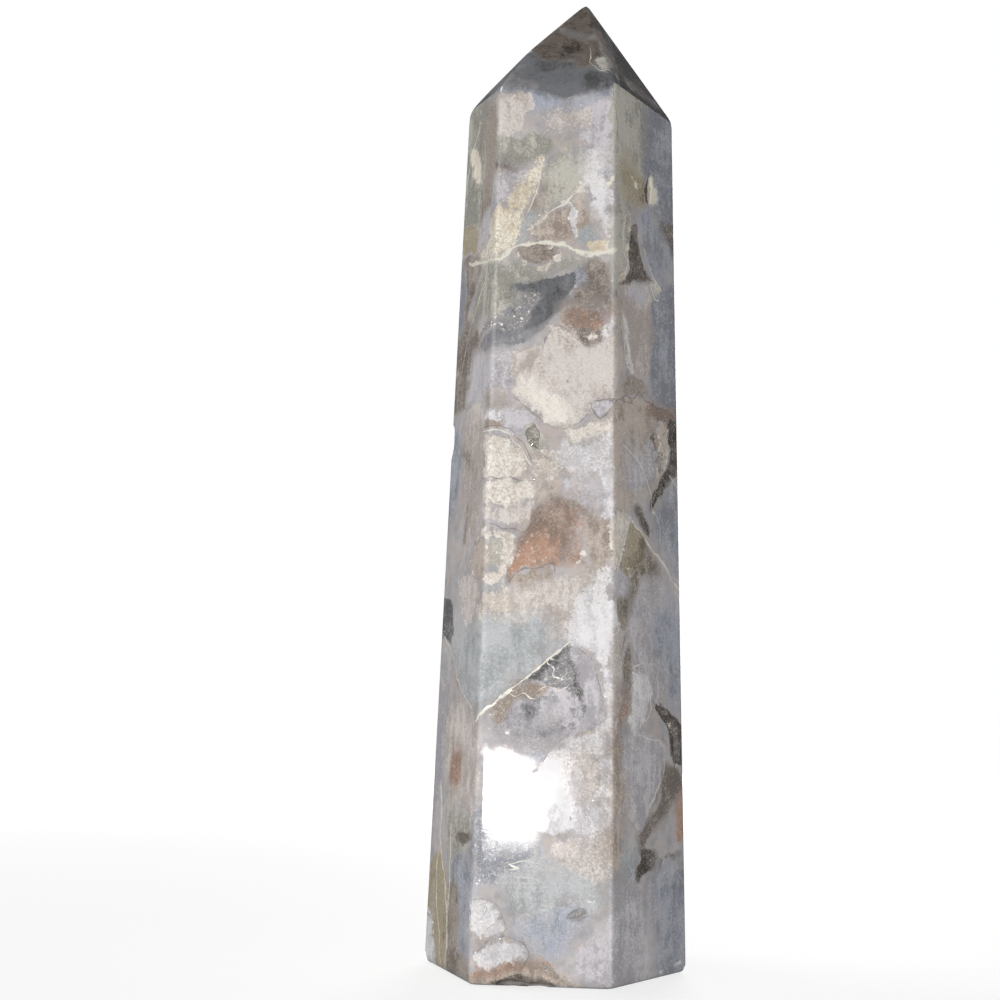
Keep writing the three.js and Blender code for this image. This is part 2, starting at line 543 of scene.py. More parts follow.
CHIPS = (
    Chip((SIDES["left"], SIDES["back_left"]), 2.4, 4.0, 0.62, up=54.6),
    Chip((CROWN["front_crown"], CROWN["left_tip"]), 0.9, 1.0, 0.22, up=96.9),
    Chip((SIDES["back"], SIDES["back_right"]), 1.8, 3.0, 0.45, up=74.0),
    Chip((SIDES["left"], SIDES["back_left"]), 2.4, 2.2, 0.6, up=0.0),
    Chip((SIDES["right"], SIDES["back_right"]), 1.6, 1.5, 0.4, up=0.0),
    Chip((SIDES["front"], BASE), 1.7, 3.7, 0.7, along=-3.8),
    Chip((SIDES["front"], BASE), 1.2, 3.6, 0.5, along=-1.3),
    Chip((SIDES["back"], BASE), 2.2, 4.2, 0.6, along=2.6),
)


def all_scoops() -> list[Scoop]:
    """Every bite out of the stone, each with a seed of its own."""
    return [source.scoop(seed) for seed, source in enumerate((*OPENINGS, *CHIPS), start=1)]


# The mesh of the stone


@dataclass
class StoneMesh:
    """The stone's surface as rings of points, close together at the edges and finer in its breaks.

    Attributes:
        shape: The ground stone.
        edge_steps: Distances from an edge of the first few columns or rows.
        column_steps: Width of a column on the front, on its two neighbours, and on the hidden sides.
        row_step: Height of a row.
        crown_rows: Rows from the shoulder to the tip.
        base_rings: Rings on the base.
        base_reach: How far from the rim of the base the innermost and the outermost of them lie.
        break_cuts: Cuts made across each face near a break.
        break_margin: How far past a break its finer faces go, in millimetres.
        break_height: How much less the distance above a break counts than the one beside it.
        rough_from: How deep in a break a point must lie to be roughened, from 0 to 1.
    """

    shape: Shape
    edge_steps: tuple[float, ...] = (0.0, 0.08, 0.18, 0.32)
    column_steps: tuple[float, ...] = (0.27, 0.29, 0.44, 0.44, 0.44, 0.29)
    row_step: float = 0.38
    crown_rows: int = 36
    base_rings: int = 9
    base_reach: tuple[float, float] = (0.97, 0.04)
    break_cuts: int = 3
    break_margin: float = 0.5
    break_height: float = 0.6
    rough_from: float = 0.15

    def spread(self, length: float, step: float) -> np.ndarray:
        """Fractions of a length from 0 up to and including 1, closer together at both ends.

        Args:
            length: The length, in millimetres.
            step: The usual distance between two of them.

        Returns:
            The fractions.
        """
        ends = np.array(self.edge_steps)
        count = max(2, round((length - 2 * ends[-1]) / step))
        middle = np.linspace(ends[-1], length - ends[-1], count + 1)[1:-1]
        return np.concatenate([ends, middle, length - ends[::-1]]) / length

    def columns(self) -> tuple[np.ndarray, np.ndarray]:
        """Where the columns of points stand, on the stone with its edges still sharp.

        Returns:
            Each column's foot on the base, and its rise for one millimetre of height.
        """
        feet, rises = [], []
        ground, above = np.array([0.0]), np.array([1.0])
        for index, step in enumerate(self.column_steps):
            left, right = self.shape.corner(index - 1, ground)[0], self.shape.corner(index, ground)[0]
            left_rise = self.shape.corner(index - 1, above)[0] - left
            right_rise = self.shape.corner(index, above)[0] - right
            part = self.spread(float(np.linalg.norm(right - left)), step)[:-1, None]
            feet.append(left + (right - left) * part)
            rises.append(left_rise + (right_rise - left_rise) * part)
        feet, rises = np.vstack(feet), np.vstack(rises)
        count = len(feet)
        return np.column_stack([feet, np.zeros(count)]), np.column_stack([rises, np.ones(count)])

    def shoulders(self, feet: np.ndarray, rises: np.ndarray) -> np.ndarray:
        """The height at which each column reaches the crown.

        Args:
            feet: The columns' feet.
            rises: Their rises for one millimetre of height.

        Returns:
            One height for each column.
        """
        normals, offsets = self.shape.normals[CROWN_PLANES], self.shape.offsets[CROWN_PLANES]
        return ((offsets - feet @ normals.T) / (rises @ normals.T)).min(axis=1)

    def rings(self) -> list[np.ndarray]:
        """Rings of points from the middle of the base out, up the shaft and over the crown.

        Returns:
            The rings, each with a point for every column.
        """
        feet, rises = self.columns()
        shoulder = self.shoulders(feet, rises)
        middle = feet.mean(axis=0)
        inwards = np.linspace(*self.base_reach, self.base_rings)
        rings = [middle + (feet - middle) * (1 - part) for part in inwards]
        for part in self.spread(float(shoulder.mean()), self.row_step):
            rings.append(feet + rises * (shoulder * part)[:, None])
        top = rings[-1]
        slant = float(np.linalg.norm(top - SHARP_TIP, axis=1).mean())
        steps = self.spread(slant, slant / self.crown_rows)[1 : -len(self.edge_steps) + 1]
        rings.extend(top + (SHARP_TIP - top) * part for part in steps)
        return rings

    def base_mesh(self) -> bpy.types.Mesh:
        """Makes the ring mesh before any refinement, closed at the base and the tip.

        Returns:
            The mesh, in millimetres.
        """
        rings = self.rings()
        width = len(rings[0])
        points = np.vstack([*rings, rings[0].mean(axis=0), SHARP_TIP])
        points = self.shape.settle(points)
        first = np.arange(width)
        second = (first + 1) % width
        quads = []
        for row in range(len(rings) - 1):
            low, high = row * width, (row + 1) * width
            quads.append(np.column_stack([low + first, low + second, high + second, high + first]))
        foot, tip = len(points) - 2, len(points) - 1
        last = (len(rings) - 1) * width
        faces = np.vstack(quads).tolist()
        faces += [[int(b), int(a), foot] for a, b in zip(first, second)]
        faces += [[last + int(a), last + int(b), tip] for a, b in zip(first, second)]
        mesh = bpy.data.meshes.new("agate_tower")
        mesh.from_pydata(points.tolist(), [], faces)
        return mesh

    def refine(self, mesh: bpy.types.Mesh, scoops: Iterable[Scoop]) -> None:
        """Cuts the faces near each break into finer ones.

        Args:
            mesh: The ring mesh.
            scoops: The bites out of the stone.
        """
        centres = np.empty(len(mesh.polygons) * 3)
        mesh.polygons.foreach_get("center", centres)
        centres = centres.reshape(-1, 3)
        wanted = np.zeros(len(centres), dtype=bool)
        for scoop in scoops:
            margin = 1 + self.break_margin / min(scoop.wide, scoop.long)
            wanted |= np.linalg.norm(scoop.local(centres) * [1, 1, self.break_height], axis=1) < margin
        grown = bmesh.new()
        grown.from_mesh(mesh)
        grown.faces.ensure_lookup_table()
        near = [grown.faces[index] for index in np.flatnonzero(wanted)]
        edges = list(dict.fromkeys(edge for face in near for edge in face.edges))
        bmesh.ops.subdivide_edges(grown, edges=edges, cuts=self.break_cuts, use_grid_fill=True)
        bmesh.ops.triangulate(grown, faces=[face for face in grown.faces if len(face.verts) > 4])
        grown.to_mesh(mesh)
        grown.free()

    def build(self, scoops: Sequence[Scoop]) -> tuple[bpy.types.Mesh, np.ndarray, np.ndarray, np.ndarray]:
        """Makes the finished mesh, still in the stone's own axes and in millimetres.

        Args:
            scoops: The bites out of the stone.

        Returns:
            The mesh, the points before they were sunk into the breaks, and how deep each point lies in
            a crystal-lined opening and in a flaked break, from 0 to 1.
        """
        mesh = self.base_mesh()
        self.refine(mesh, scoops)
        whole = self.shape.settle(read_points(mesh))
        points = whole.copy()
        lined, flaked = np.zeros(len(points)), np.zeros(len(points))
        for scoop in scoops:
            points, depth = scoop.sink(points)
            target = lined if scoop.lining is Break.CRYSTALS else flaked
            np.maximum(target, depth, out=target)
        points = self.roughen(points, lined, flaked)
        points[:, 2] = np.clip(points[:, 2], 0.0, HEIGHT)
        write_points(mesh, points)
        return mesh, whole, lined, flaked

    def roughen(self, points: np.ndarray, lined: np.ndarray, flaked: np.ndarray) -> np.ndarray:
        """Breaks up the floors of the openings, and ripples the flaked ones a little.

        Args:
            points: Every point of the mesh.
            lined: How deep each one lies in a crystal-lined opening, from 0 to 1.
            flaked: How deep each one lies in a flaked break.

        Returns:
            The moved points.
        """
        moved = points.copy()
        for index in np.flatnonzero((lined > self.rough_from) | (flaked > self.rough_from)):
            place = Vector(points[index])
            lumps = wander(place, rate=3.1, reach=0.11) + wander(place, rate=7.0, reach=0.05)
            ripples = wander(place, rate=1.8, reach=0.05)
            moved[index] += np.array(lumps * lined[index] + ripples * flaked[index])
        return moved


def wander(place: Vector, rate: float, reach: float) -> Vector:
    """A smooth drift that changes from place to place, so many times in a millimetre and so far."""
    return noise.noise_vector(place * rate) * reach


def read_points(mesh: bpy.types.Mesh) -> np.ndarray:
    """The mesh's points as rows."""
    flat = np.empty(len(mesh.vertices) * 3)
    mesh.vertices.foreach_get("co", flat)
    return flat.reshape(-1, 3)


def write_points(mesh: bpy.types.Mesh, points: np.ndarray) -> None:
    """Sets the mesh's points from rows."""
    mesh.vertices.foreach_set("co", points.ravel())
    mesh.update()


# Minerals, and the markings that they make


Colour = tuple[int, int, int]


@dataclass(frozen=True)
class Finish:
    """How one mineral of the stone looks where it is cut and polished.

    Attributes:
        deep: Its darker colour, as seen on a screen.
        pale: Its paler colour.
        rim: The colour of the band just inside its edge.
        banded: How strong that band is.
        outlined: How strong the thin dark line round it is.
        soft: Half the width over which it fades out, in millimetres.
        lace: How far its edge strays.
        lobes: How far its edge bulges in round lobes.
        contour: How strong the thin pale bands are that follow its edge inwards.
        cloud: How strongly it turns from deep to pale.
        dull: How much rougher it is than the clear stone.
    """

    deep: Colour
    pale: Colour
    rim: Colour
    banded: float = 0.2
    outlined: float = 0.1
    soft: float = 0.1
    lace: float = 0.5
    lobes: float = 0.0
    contour: float = 0.0
    cloud: float = 1.0
    dull: float = 0.0


class Mineral(Enum):
    """The minerals, in the order in which each one covers those before it."""

    MIST = Finish((142, 147, 158), (184, 189, 202), (204, 206, 214), 0.3, 0.0, 0.4, 1.3, cloud=0.9)
    AQUA = Finish((168, 173, 176), (204, 208, 211), (212, 215, 214), 0.3, 0.0, 0.4, 1.2, cloud=0.9)
    SAGE = Finish((158, 157, 148), (208, 205, 194), (216, 213, 202), 0.3, 0.0, 0.35, 1.0)
    LILAC = Finish((178, 175, 181), (218, 215, 221), (232, 229, 234), 0.5, 0.2, 0.16, 0.9, 0.3)
    BLUSH = Finish((190, 179, 173), (231, 223, 218), (238, 232, 228), 0.5, 0.3, 0.14, 0.9, 0.4, dull=0.02)
    TAN = Finish((160, 146, 135), (208, 195, 184), (216, 207, 197), 0.4, 0.15, 0.2, 0.9, 0.25)
    CARNELIAN = Finish((146, 127, 115), (198, 157, 134), (184, 160, 147), 0.3, 0.0, 0.3, 0.8, 0.2, cloud=0.6)
    SMOKE = Finish((83, 83, 84), (124, 126, 130), (142, 146, 154), 0.2, 0.0, 0.2, 0.6, cloud=0.6)
    SLATE = Finish((90, 90, 92), (144, 145, 151), (168, 168, 174), 0.35, 0.0, 0.12, 0.7, 0.2, 0.5)
    BARK = Finish((122, 112, 105), (170, 159, 149), (184, 174, 164), 0.4, 0.1, 0.18, 0.8, 0.2, 0.2)
    UMBER = Finish((58, 53, 49), (114, 104, 96), (152, 143, 134), 0.45, 0.0, 0.08, 0.5, 0.1, 0.25)
    OLIVE = Finish((118, 110, 92), (180, 168, 142), (202, 192, 166), 0.4, 0.1, 0.14, 0.7, 0.0, 0.25)
    CREAM = Finish((214, 203, 191), (252, 246, 237), (244, 237, 229), 0.5, 0.35, 0.1, 0.9, 0.5, dull=0.02)
    PEARL = Finish((212, 210, 214), (248, 246, 248), (240, 238, 242), 0.5, 0.25, 0.12, 0.9, 0.4, dull=0.015)
    STRAW = Finish((216, 201, 174), (255, 247, 230), (240, 231, 208), 0.4, 0.2, 0.1, 0.9, 0.4, dull=0.1)


(
    MIST, AQUA, SAGE, LILAC, BLUSH, TAN, CARNELIAN, SMOKE, SLATE, BARK, UMBER, OLIVE, CREAM, PEARL, STRAW,
) = Mineral


class Ground(Enum):
    """The parts of the surface that are laid flat one by one."""

    SHAFT = "shaft"
    CROWN = "crown"
    BASE = "base"


@dataclass(frozen=True)
class Marking:
    """What every marking says of itself.

    Attributes:
        name: What it is.
        mineral: What it is made of.
        tone: How pale it is, from -1 to 1.
        soft: How many times softer than its mineral's usual edge its own is.
        cover: From 0 to 1 how far it hides what is below; half leaves it lacy.
        sugar: How sugary its face is, or None where it is as its flat's faces mostly are.
        sparks: How thickly small white specks lie on it: white specks in the stone, and painted glints where
            small crystals sparkle.
    """

    name: str
    mineral: Mineral
    tone: float = field(default=0.0, kw_only=True)
    soft: float = field(default=1.0, kw_only=True)
    cover: float = field(default=1.0, kw_only=True)
    sugar: float | None = field(default=None, kw_only=True)
    sparks: float = field(default=0.0, kw_only=True)


@dataclass(frozen=True)
class Patch(Marking):
    """A marking with a closed outline of places in the photograph."""

    pixels: tuple[Pixel, ...]


SPOT_PLACES = 8


@dataclass(frozen=True)
class Spot(Marking):
    """An oval marking, by its middle, its size and its turn in the photograph."""

    middle: Pixel
    wide: float
    tall: float
    turn: float = 0.0

    @property
    def pixels(self) -> tuple[Pixel, ...]:
        """Places round the oval.

        Returns:
            Its outline in the photograph.
        """
        turn = math.radians(self.turn)
        places = []
        for step in range(SPOT_PLACES):
            angle = math.tau * step / SPOT_PLACES
            across, up = self.wide / 2 * math.cos(angle), self.tall / 2 * math.sin(angle)
            x = self.middle[0] + across * math.cos(turn) - up * math.sin(turn)
            y = self.middle[1] + across * math.sin(turn) + up * math.cos(turn)
            places.append((x, y))
        return tuple(places)


@dataclass(frozen=True)
class Streak(Marking):
    """A marking of even width, in millimetres, along a route of places in the photograph."""

    width: float
    pixels: tuple[Pixel, ...]


class Seam(Enum):
    """Thin lines: healed cracks are pale, open ones and the edges of plumes are dark."""

    PALE = "pale_seam"
    DARK = "dark_seam"


PALE, DARK = Seam


@dataclass(frozen=True)
class Line:
    """A thin line along a route of places in the photograph; its width is in millimetres."""

    seam: Seam
    width: float
    route: tuple[Pixel, ...]


CROWN_MARKINGS = (
    Patch("grey crown", SMOKE, (
        (588, 0), (540, 38), (480, 86), (455, 125), (520, 118), (614, 104), (618, 80), (606, 30),
    ), tone=-0.3),
    Patch("upper crown", UMBER, (
        (588, 0), (556, 26), (528, 50), (545, 60), (574, 62), (600, 60), (608, 45), (600, 18),
    ), tone=0.1, soft=2),
    Patch("mottled top", UMBER, (
        (588, 2), (566, 20), (554, 34), (568, 37), (590, 42), (604, 42), (598, 24),
    ), tone=0.3, soft=2),
    Streak("pale upper band", SMOKE, 0.5, ((562, 31), (578, 36), (596, 38)), tone=0.8, soft=1.5),
    Streak("curved band", UMBER, 0.9, (
        (554, 35), (560, 38), (566, 42), (574, 45), (582, 46), (593, 45),
    ), tone=0.1),
    Patch("brown patch", UMBER, ((539, 51), (546, 47), (556, 53), (552, 60), (541, 58)), tone=-0.1),
    Patch("brown cloud", UMBER, ((575, 52), (590, 50), (592, 60), (587, 71), (578, 65)), tone=0.2, soft=2),
    Patch("ridge streak", CARNELIAN, (
        (596, 32), (602, 34), (610, 54), (605, 57), (599, 46),
    ), tone=-1, soft=2, cover=0.7, sugar=0.12),
    Streak("pale foot of the right crown", BARK, 0.5, (
        (626, 82), (640, 92), (655, 103),
    ), tone=-1, soft=2, cover=0.6, sugar=0.12),
)

SHOULDER_MARKINGS = (
    Patch("pink cloud", LILAC, (
        (544, 106), (566, 102), (590, 106), (612, 102), (614, 150), (602, 160), (580, 138), (556, 132),
        (543, 122),
    ), tone=-0.5, soft=3),
    Patch("smooth bowl", SMOKE, (
        (500, 70), (506, 84), (524, 85), (536, 91), (548, 96), (566, 98), (582, 95), (595, 91), (612, 83),
        (610, 70), (572, 66), (530, 64),
    ), tone=1, soft=1.6),
    Patch("bowl's blue side", SMOKE, (
        (496, 78), (520, 70), (540, 68), (536, 80), (524, 86), (500, 88),
    ), tone=1, soft=2.5, cover=0.7),
    Patch("darker corner", SMOKE, (
        (586, 74), (596, 70), (606, 73), (611, 79), (606, 86), (596, 91), (587, 89), (583, 82),
    ), tone=-0.5, soft=2.5),
    Streak("fringe", MIST, 1.1, (
        (492, 88), (506, 87), (520, 88), (532, 92), (546, 99), (562, 103), (580, 102), (596, 97), (616, 88),
    ), tone=-0.8, soft=2, cover=0.85),
    Streak("outer fringe", MIST, 1.4, (
        (530, 98), (546, 106), (562, 109), (580, 107), (594, 104),
    ), tone=0.4, soft=2.5, cover=0.6),
    Patch("corner patch", SAGE, (
        (595, 57), (602, 54), (609, 56), (613, 69), (606, 71), (598, 66),
    ), tone=-0.2, soft=1.4, sugar=0.12),
    Spot("dot in the corner patch", UMBER, (607, 62), 3, 3, sugar=0.12),
)

FRONT_MARKINGS = (
    Patch("upper right veil", LILAC, (
        (584, 112), (612, 104), (614, 200), (600, 190), (588, 160),
    ), tone=0.3, soft=4),
    Patch("first plume", BLUSH, (
        (497, 98), (515, 94), (520, 91), (527, 93), (534, 99), (534, 108), (527, 111), (524, 120),
        (521, 132), (513, 134), (504, 137), (492, 136),
    ), tone=-0.2, sugar=0.3),
    Patch("second plume", BLUSH, (
        (548, 112), (566, 108), (588, 110), (594, 120), (580, 132), (562, 130), (548, 124),
    ), tone=-0.4, soft=3, cover=0.8, sugar=0.3),
    Patch("grey green", SAGE, (
        (488, 140), (515, 138), (530, 132), (548, 136), (553, 150), (540, 158), (522, 166), (498, 164),
        (486, 160),
    ), tone=-1, soft=1.5),
    Spot("olive ring", SAGE, (534, 144), 12, 13, 20, tone=-1, soft=2),
    Spot("inside the ring", SAGE, (534, 143), 6, 7, 20, tone=0.1, soft=1.5),
    Patch("left brown patch", BARK, (
        (492, 162), (508, 162), (517, 170), (508, 174), (494, 173),
    ), tone=-0.5, soft=2),
    Patch("white mottle", LILAC, (
        (490, 176), (508, 172), (526, 170), (524, 182), (512, 196), (504, 206), (498, 222), (490, 240),
        (484, 215),
    ), tone=0.4, soft=2, sugar=0.9),
    Patch("pale green field", SAGE, (
        (546, 160), (575, 148), (592, 158), (588, 184), (568, 200), (544, 214), (530, 228), (534, 206),
        (541, 182),
    ), tone=0.2, soft=3),
    Patch("blue below the crust", AQUA, (
        (522, 214), (536, 206), (546, 212), (532, 228), (522, 240), (516, 234),
    ), tone=-0.2, soft=3),
    Patch("crust", STRAW, (
        (541, 157), (545, 166), (540, 180), (534, 196), (524, 210), (521, 228), (514, 242), (503, 254),
        (482, 263), (471, 254), (476, 242), (486, 228), (492, 213), (503, 202), (513, 190), (526, 180),
        (534, 166),
    ), tone=0.5, soft=1.7, sugar=1),
    Patch("tan beside the crust", TAN, (
        (541, 176), (546, 190), (542, 204), (533, 212), (530, 204), (537, 192),
    ), tone=0.2, soft=3, cover=0.8),
    Spot("dot in the crust", BARK, (516, 208), 4, 3, -20),
    Spot("ring in the crust", BARK, (503, 204), 7, 5, 30, tone=0.8, cover=0.6),
    Patch("left brown wedge", TAN, (
        (530, 232), (546, 220), (567, 205), (570, 222), (573, 240), (560, 242), (540, 241),
    ), tone=0.3),
    Patch("right brown wedge", TAN, (
        (571, 202), (583, 188), (588, 204), (597, 228), (600, 244), (590, 236), (580, 230), (576, 240),
        (573, 222),
    ), tone=0.1, soft=1.5),
    Streak("pale fork", CREAM, 0.35, (
        (530, 228), (550, 214), (568, 200), (588, 182),
    ), tone=-0.5, soft=1.6, cover=0.8),
    Streak("blue fork", PEARL, 0.5, ((570, 203), (573, 220), (577, 238)), tone=-0.9, soft=1.8, cover=0.75),
    Patch("blue beside the wedge", AQUA, (
        (578, 232), (590, 226), (600, 240), (606, 248), (592, 248), (580, 242),
    ), tone=-0.3, soft=2),
    Patch("white fork", PEARL, (
        (590, 150), (600, 146), (603, 172), (611, 190), (614, 236), (606, 234), (598, 216), (590, 196),
        (584, 178),
    ), tone=0.4, soft=2, sugar=0.3),
    Patch("yellow glow", STRAW, (
        (576, 246), (592, 243), (606, 236), (617, 224), (617, 250), (600, 254), (586, 251),
    ), tone=-0.6, soft=2, cover=0.65),
    Patch("grey band under the block", SAGE, (
        (500, 262), (520, 262), (545, 266), (566, 258), (584, 256), (598, 258), (578, 270), (552, 274),
        (520, 274),
    ), tone=-0.2, soft=2),
    Patch("pocket", BARK, (
        (519, 248), (532, 244), (546, 243), (556, 247), (558, 256), (550, 262), (534, 263), (522, 260),
    ), tone=0.7, soft=1.5),
    Streak("rim of the pocket", CREAM, 0.45, (
        (520, 258), (526, 265), (536, 268), (546, 268), (554, 262), (562, 251),
    ), tone=-0.1, soft=1.5, sugar=0.5),
    Spot("spot in the pocket", CREAM, (549, 246), 7, 6),
    Patch("smoky field", SAGE, (
        (486, 266), (512, 264), (534, 272), (556, 272), (548, 280), (538, 286), (532, 302), (512, 318),
        (488, 322), (482, 296),
    ), tone=-0.6, soft=1.5),
    Patch("smoke's shade", SLATE, (
        (524, 278), (540, 284), (532, 304), (512, 320), (494, 322), (510, 304),
    ), tone=0.5, soft=3, cover=0.8),
    Patch("blue cloud beside the pool", MIST, (
        (570, 268), (586, 262), (592, 274), (584, 290), (576, 288),
    ), tone=-1, soft=3),
    Patch("purple brown", BARK, (
        (584, 264), (598, 257), (612, 268), (618, 285), (614, 304), (598, 308), (578, 304), (570, 298),
        (580, 284),
    ), tone=-0.4, soft=2.5),
    Patch("banded pool", SLATE, (
        (478, 352), (484, 336), (496, 323), (508, 313), (518, 305), (530, 297), (546, 293), (556, 306),
        (545, 322), (534, 336), (516, 344), (500, 349),
    ), tone=-0.1, soft=1.2, sugar=0.05),
    Patch("pool", SMOKE, (
        (512, 286), (526, 282), (538, 279), (550, 277), (562, 274), (573, 272), (577, 277), (574, 288),
        (566, 298), (560, 308), (550, 318), (541, 326), (530, 332), (518, 335), (522, 324), (530, 312),
        (534, 303), (530, 296), (520, 292),
    ), tone=0.3, soft=1.3, sugar=0),
    Streak("lavender foot of the pool", SLATE, 0.6, (
        (484, 350), (500, 343), (516, 339), (527, 334),
    ), tone=0.6, soft=1.5),
    # Painted glints: white specks where small crystals sparkle beside the pool.
    Streak("crystal glints", SLATE, 1.2, (
        (481, 336), (486, 326), (495, 321), (506, 323), (518, 318), (524, 310), (531, 299),
    ), tone=0.6, soft=2, sugar=0.6, sparks=1),
    Patch("orange brown", CARNELIAN, (
        (564, 309), (580, 304), (600, 306), (610, 312), (606, 326), (600, 340), (590, 344), (580, 334),
        (570, 326), (562, 321),
    ), tone=-1, soft=2.6, sparks=0.2),
    Patch("orange in the brown", CARNELIAN, (
        (564, 314), (576, 309), (586, 316), (584, 328), (574, 326), (564, 321),
    ), tone=-0.9, soft=3, cover=0.8),
    Patch("dark tip of the brown", BARK, (
        (576, 328), (590, 328), (604, 333), (600, 342), (588, 346), (579, 338),
    ), tone=-0.7, soft=1.6),
    Spot("upper white speck", PEARL, (599, 326), 5, 6, 20),
    Spot("lower white speck", CREAM, (593, 337), 9, 5, -20, cover=0.7),
    Patch("specks on the edge", PEARL, (
        (606, 330), (613, 318), (616, 342), (609, 346), (604, 340),
    ), tone=-0.2, soft=2, cover=0.6, sugar=0.8, sparks=0.9),
    Patch("lavender white", LILAC, (
        (484, 356), (496, 350), (503, 347), (509, 352), (514, 364), (513, 380), (510, 396), (500, 404),
        (486, 402), (478, 380),
    ), tone=-0.3, soft=1.5, sugar=0.4),
    Patch("grey block", BARK, (
        (486, 394), (504, 392), (508, 402), (498, 410), (486, 408),
    ), tone=0.9, soft=2.5, cover=0.7),
    Patch("pinkish brown", BLUSH, (
        (512, 354), (528, 348), (544, 342), (552, 350), (542, 366), (528, 378), (516, 384), (510, 368),
    ), tone=-0.6, soft=1.6),
    Patch("great plume", BLUSH, (
        (546, 334), (553, 326), (562, 328), (569, 331), (576, 330), (582, 340), (588, 347), (596, 344),
        (606, 341), (618, 338), (618, 398), (597, 402), (590, 412), (575, 422), (560, 427), (548, 422),
        (535, 412), (517, 398), (513, 383), (522, 372), (534, 365), (541, 350),
    ), tone=0.4, sugar=0.4),
    Patch("plume's warm side", CREAM, (
        (516, 384), (528, 376), (544, 382), (556, 392), (566, 402), (570, 414), (560, 424), (548, 420),
        (534, 411), (518, 397),
    ), tone=1, soft=3, sugar=0.3),
    Patch("plume's white side", BLUSH, (
        (586, 350), (604, 344), (618, 344), (618, 396), (600, 398), (588, 384),
    ), tone=0.1, soft=3, cover=0.8, sugar=0.2),
    # Painted pits: the two bark spots are painted shade and the three cream spots painted highlights of small
    # pits that the mesh doesn't have.
    Spot("shade of the upper pit", BARK, (571, 382), 7, 3, 20, tone=0.8, cover=0.8),
    Spot("upper pit", CREAM, (572, 381), 5, 2, 20, tone=1),
    Spot("shade of the lower pit", BARK, (558, 391), 12, 4, 20, tone=0.6, cover=0.8),
    Spot("lower pit", CREAM, (560, 390), 8, 2.4, 20, tone=1),
    Spot("right pit", CREAM, (576, 392), 4, 2.4, 20, tone=1),
    Patch("window", LILAC, (
        (590, 406), (598, 401), (614, 400), (617, 404), (606, 414), (598, 419), (592, 412),
    ), tone=0.6),
    Patch("lobes", LILAC, (
        (486, 411), (496, 410), (504, 407), (516, 409), (530, 412), (535, 420), (527, 431), (514, 434),
        (503, 430), (498, 421), (487, 420),
    ), tone=-0.1),
    Patch("white tip of the lobes", PEARL, (
        (485, 411), (495, 410), (500, 416), (495, 421), (486, 420),
    ), tone=-0.6, soft=1.5),
    Patch("brown corner", TAN, ((486, 420), (496, 419), (502, 427), (492, 428), (484, 427)), tone=-1),
    Patch("olive pit", SAGE, (
        (525, 427), (533, 423), (538, 432), (544, 438), (539, 448), (530, 449), (526, 440),
    ), tone=0.6, soft=1.2),
    Patch("granular plume", CREAM, (
        (482, 437), (494, 434), (508, 438), (520, 448), (528, 462), (524, 474), (510, 480), (494, 478),
        (481, 474),
    ), tone=0.4, sugar=0.8),
    Patch("lower granular plume", CREAM, (
        (482, 484), (500, 479), (520, 478), (538, 482), (537, 492), (526, 500), (516, 507), (498, 505),
        (481, 498),
    ), tone=0.3, sugar=0.8),
    Patch("pink grey", BLUSH, (
        (482, 506), (512, 508), (534, 500), (538, 510), (534, 522), (524, 528), (506, 524), (486, 520),
    ), tone=0.3, soft=1.5),
    Patch("cream stripe", CREAM, (
        (566, 432), (582, 424), (600, 420), (617, 422), (617, 436), (598, 438), (582, 443), (569, 442),
    ), soft=2, sugar=0.6),
    Patch("icy plume", PEARL, (
        (562, 446), (578, 442), (596, 440), (616, 438), (616, 470), (604, 472), (590, 478), (574, 476),
        (562, 466),
    ), tone=-0.5, soft=2, sugar=0.6),
    Patch("warm grains", CREAM, (
        (532, 456), (548, 450), (558, 458), (562, 470), (552, 478), (536, 474),
    ), tone=-0.2, soft=2, cover=0.6, sugar=1),
    Patch("mauve above the window", TAN, (
        (540, 486), (556, 480), (566, 486), (564, 496), (548, 504), (538, 504),
    ), tone=0.5, soft=3),
    Patch("pale field", LILAC, (
        (562, 478), (580, 480), (598, 484), (603, 500), (594, 508), (576, 505), (566, 496),
    ), tone=0.4, soft=2),
    Patch("orange window", CARNELIAN, (
        (534, 510), (549, 503), (562, 498), (576, 503), (590, 510), (600, 522), (600, 546), (590, 560),
        (572, 563), (556, 566), (545, 566), (534, 567), (520, 570), (508, 584), (506, 574), (512, 556),
        (519, 537), (528, 526),
    ), tone=-1, sparks=0.12),
    Patch("brown top of the window", BARK, (
        (540, 508), (552, 500), (566, 496), (580, 504), (574, 514), (556, 518), (544, 516),
    ), tone=0.1, soft=4, cover=0.75),
    Patch("orange side", CARNELIAN, (
        (510, 568), (518, 550), (528, 536), (540, 534), (550, 542), (552, 556), (544, 564), (528, 567),
        (516, 573),
    ), tone=0.6, soft=3, sparks=0.35),
    Patch("fading right of the window", TAN, (
        (584, 508), (604, 514), (621, 520), (621, 558), (598, 566), (586, 562), (580, 540),
    ), tone=-0.9, soft=3, sparks=0.12),
    Patch("blue white streak", PEARL, (
        (597, 470), (604, 468), (611, 478), (613, 496), (618, 512), (612, 520), (601, 516), (605, 496),
    ), tone=-0.6),
    Patch("cream triangle", CREAM, ((584, 547), (588, 554), (586, 559), (580, 556)), tone=0.3),
    Spot("dot below the triangle", CREAM, (578, 561), 5, 4),
    Spot("dots on the edge", PEARL, (611, 556), 6, 8, -30),
    Spot("upper dot on the edge", PEARL, (609, 527), 3, 4),
    Patch("eye", CREAM, (
        (480, 534), (496, 529), (508, 528), (514, 538), (514, 552), (509, 566), (506, 578), (494, 585),
        (480, 584),
    ), tone=0.2, soft=1.3, sugar=0.5),
    Patch("core of the eye", SAGE, (
        (486, 542), (497, 536), (503, 546), (499, 560), (495, 570), (488, 568), (484, 556),
